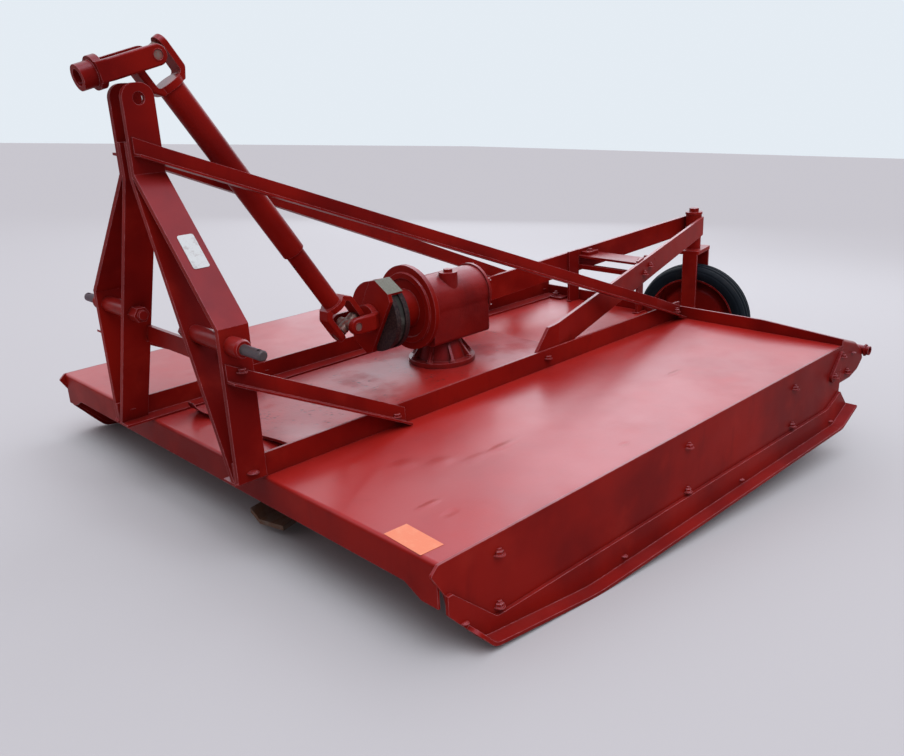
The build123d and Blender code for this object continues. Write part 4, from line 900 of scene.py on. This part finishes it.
# A closed profile, given by how far along a line and how far out from it, turned once about the line
def turnAbout(centre, line, profile, steps, first=0):
    side = line.orthogonal().normalized()
    other = line.cross(side)
    points, faces, count = [], [], len(profile)
    for a, b in ringOf(steps, 1, 0):
        out = a * side + b * other
        points += [centre + width * line + radius * out for width, radius in profile]
    for n in range(steps):
        here, there = first + n * count, first + (n + 1) % steps * count
        for k in range(count):
            after = (k + 1) % count
            faces.append([here + k, here + after, there + after, there + k])
    return points, faces


def ringMesh(name, centres, line, look):
    profile = [(width, look["radius"] + out) for out, width in ringOf(look["sides"], look["tube"], 0)]
    points, faces = [], []
    for centre in centres:
        morePoints, moreFaces = turnAbout(centre, line, profile, look["steps"], len(points))
        points += [deckToRow @ p for p in morePoints]
        faces += moreFaces
    return meshOf(name, points, faces, True)


for ears in jointEars:
    line = ears["line"].normalized()
    centres = [ears["centre"] + side * snapRing["ear"] * line for side in (1, -1)]
    rings = ringMesh(ears["name"], centres, line, snapRing)
    addPiece(ears["name"], rings, ears["body"], "redEnamel")
print("snap rings made")

# Ribbed tyre turned about the wheel's own axle, in the place of the plain one. Its sides are arcs
# with two shallow rings let in, given by radius and depth
tyreShape = {"radius": 224.6, "crown": 90, "crownEdge": 42.5, "sideCentre": (17.7, 193.8),
             "sideRadius": 32.3, "beadWidth": 42, "beadRadius": 172.4, "grooves": (-26, -9, 9, 26),
             "grooveHalf": 3, "grooveDepth": 6, "wall": 0.8, "shoulder": 5, "steps": 144}
sideRings = [(175, 0), (178, 0), (179.5, 1), (181, 1), (182.5, 0), (188, 0), (194, 0), (199, 0), (203, 0),
             (204.2, 0.9), (206, 0.9), (207.2, 0), (210, 0)]


def crownAt(look, across):
    return look["radius"] - look["crown"] + math.sqrt(look["crown"] ** 2 - across ** 2)


def tyreProfile(look):
    middle, level = look["sideCentre"]
    side = [(look["beadWidth"], look["beadRadius"])]
    side += [(middle + math.sqrt(look["sideRadius"] ** 2 - (radius - level) ** 2) - depth, radius)
             for radius, depth in sideRings]
    side.append((look["crownEdge"], crownAt(look, look["crownEdge"])))
    profile = [(-across, radius) for across, radius in side]
    for groove in look["grooves"]:
        low, high, depth = groove - look["grooveHalf"], groove + look["grooveHalf"], look["grooveDepth"]
        profile += [(across, crownAt(look, across) - sunk) for across, sunk in (
            (low - look["shoulder"], 0), (low, 0), (low + look["wall"], depth),
            (high - look["wall"], depth), (high, 0), (high + look["shoulder"], 0))]
    return profile + side[::-1]


def makeTyre(look):
    spin = next(j for j in frame["joints"] if j["name"] == "tail_wheel_spin")
    profile = [(mm * width, mm * radius) for width, radius in tyreProfile(look)]
    axle = Vector(spin["axis"]).normalized()
    points, faces = turnAbout(Vector(spin["pos_m"]), axle, profile, look["steps"])
    mesh = meshOf("ribbed_tyre", points, faces, True)
    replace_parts(addPiece("ribbed_tyre", mesh, "tail_wheel", "tyreRubber"), "tail_tyre")


makeTyre(tyreShape)
print("tyre made")

# Plain pale floor and soft studio light
floorLook = {"half": 60, "colour": (0.5, 0.5, 0.505, 1)}


def makeStage(look):
    half = look["half"]
    mesh = bpy.data.meshes.new("floor")
    corners = [(-half, -half, 0), (half, -half, 0), (half, half, 0), (-half, half, 0)]
    mesh.from_pydata(corners, [], [(0, 1, 2, 3)])
    floor = bpy.data.objects.new("floor", mesh)
    scene.collection.objects.link(floor)
    matte = newMaterial("paleFloor", {"Color": look["colour"]}, "ShaderNodeBsdfDiffuse")
    mesh.materials.append(matte[0])


# The sky lights from overhead more than from its edge; what is seen of it is one pale tone
skyLook = {"low": 0.22, "gain": 0.75, "fullHeight": 0.9, "lit": (0.95, 0.885, 0.955, 1),
           "shown": (0.78, 0.84, 0.9, 1)}


def makeWorld(look):
    world = bpy.data.worlds.new("sky")
    scene.world = world
    world.use_nodes = True
    tree = world.node_tree
    tree.nodes.clear()
    ray = addNode(tree, "ShaderNodeLightPath").outputs
    seen = maths(tree, "MAXIMUM", ray["Is Camera Ray"],
                 maths(tree, "MAXIMUM", ray["Is Glossy Ray"], ray["Is Transmission Ray"]))
    incoming = addNode(tree, "ShaderNodeNewGeometry").outputs["Incoming"]
    height = addNode(tree, "ShaderNodeSeparateXYZ", inputs={0: incoming}).outputs[2]
    overhead = ramp(tree, maths(tree, "ABSOLUTE", height), 0.0, look["fullHeight"])
    strength = maths(tree, "ADD", product(tree, overhead, look["gain"]), look["low"])
    lit = outNode(tree, "ShaderNodeBackground", inputs={"Color": look["lit"], "Strength": strength})
    shown = outNode(tree, "ShaderNodeBackground", inputs={"Color": look["shown"], "Strength": 1.0})
    both = outNode(tree, "ShaderNodeMixShader", inputs={0: seen, 1: lit, 2: shown})
    addNode(tree, "ShaderNodeOutputWorld", inputs={"Surface": both})


lampTone = (0.88, 0.93, 1)
lamps = {
    "keyLamp": {"kind": "SUN", "spot": (1.1, 2.0, 4.4), "target": (0, 0, 0.3), "power": 1.7,
                "spread": {"angle": math.radians(50)}},
    "fillLamp": {"kind": "AREA", "spot": (-3.2, -1.2, 3.4), "target": (0, 0, 0.3), "power": 45,
                 "spread": {"size": 3.6}},
    "sheenLamp": {"kind": "AREA", "spot": (-4.4, -4.6, 2.7), "target": (-0.5, -0.2, 0.3), "power": 45,
                  "spread": {"size": 4.5}},
}


def makeLamp(name, look):
    light = bpy.data.lights.new(name, look["kind"])
    light.energy, light.color = look["power"], lampTone
    for setting, value in look["spread"].items():
        setattr(light, setting, value)
    lamp = bpy.data.objects.new(name, light)
    lamp.location = look["spot"]
    aim = Vector(look["target"]) - Vector(look["spot"])
    lamp.rotation_euler = aim.to_track_quat("-Z", "Y").to_euler()
    lamp.visible_camera = False
    scene.collection.objects.link(lamp)


makeStage(floorLook)
makeWorld(skyLook)
for name, look in lamps.items():
    makeLamp(name, look)
scene.view_settings.view_transform = "Standard"
print("stage and light made")
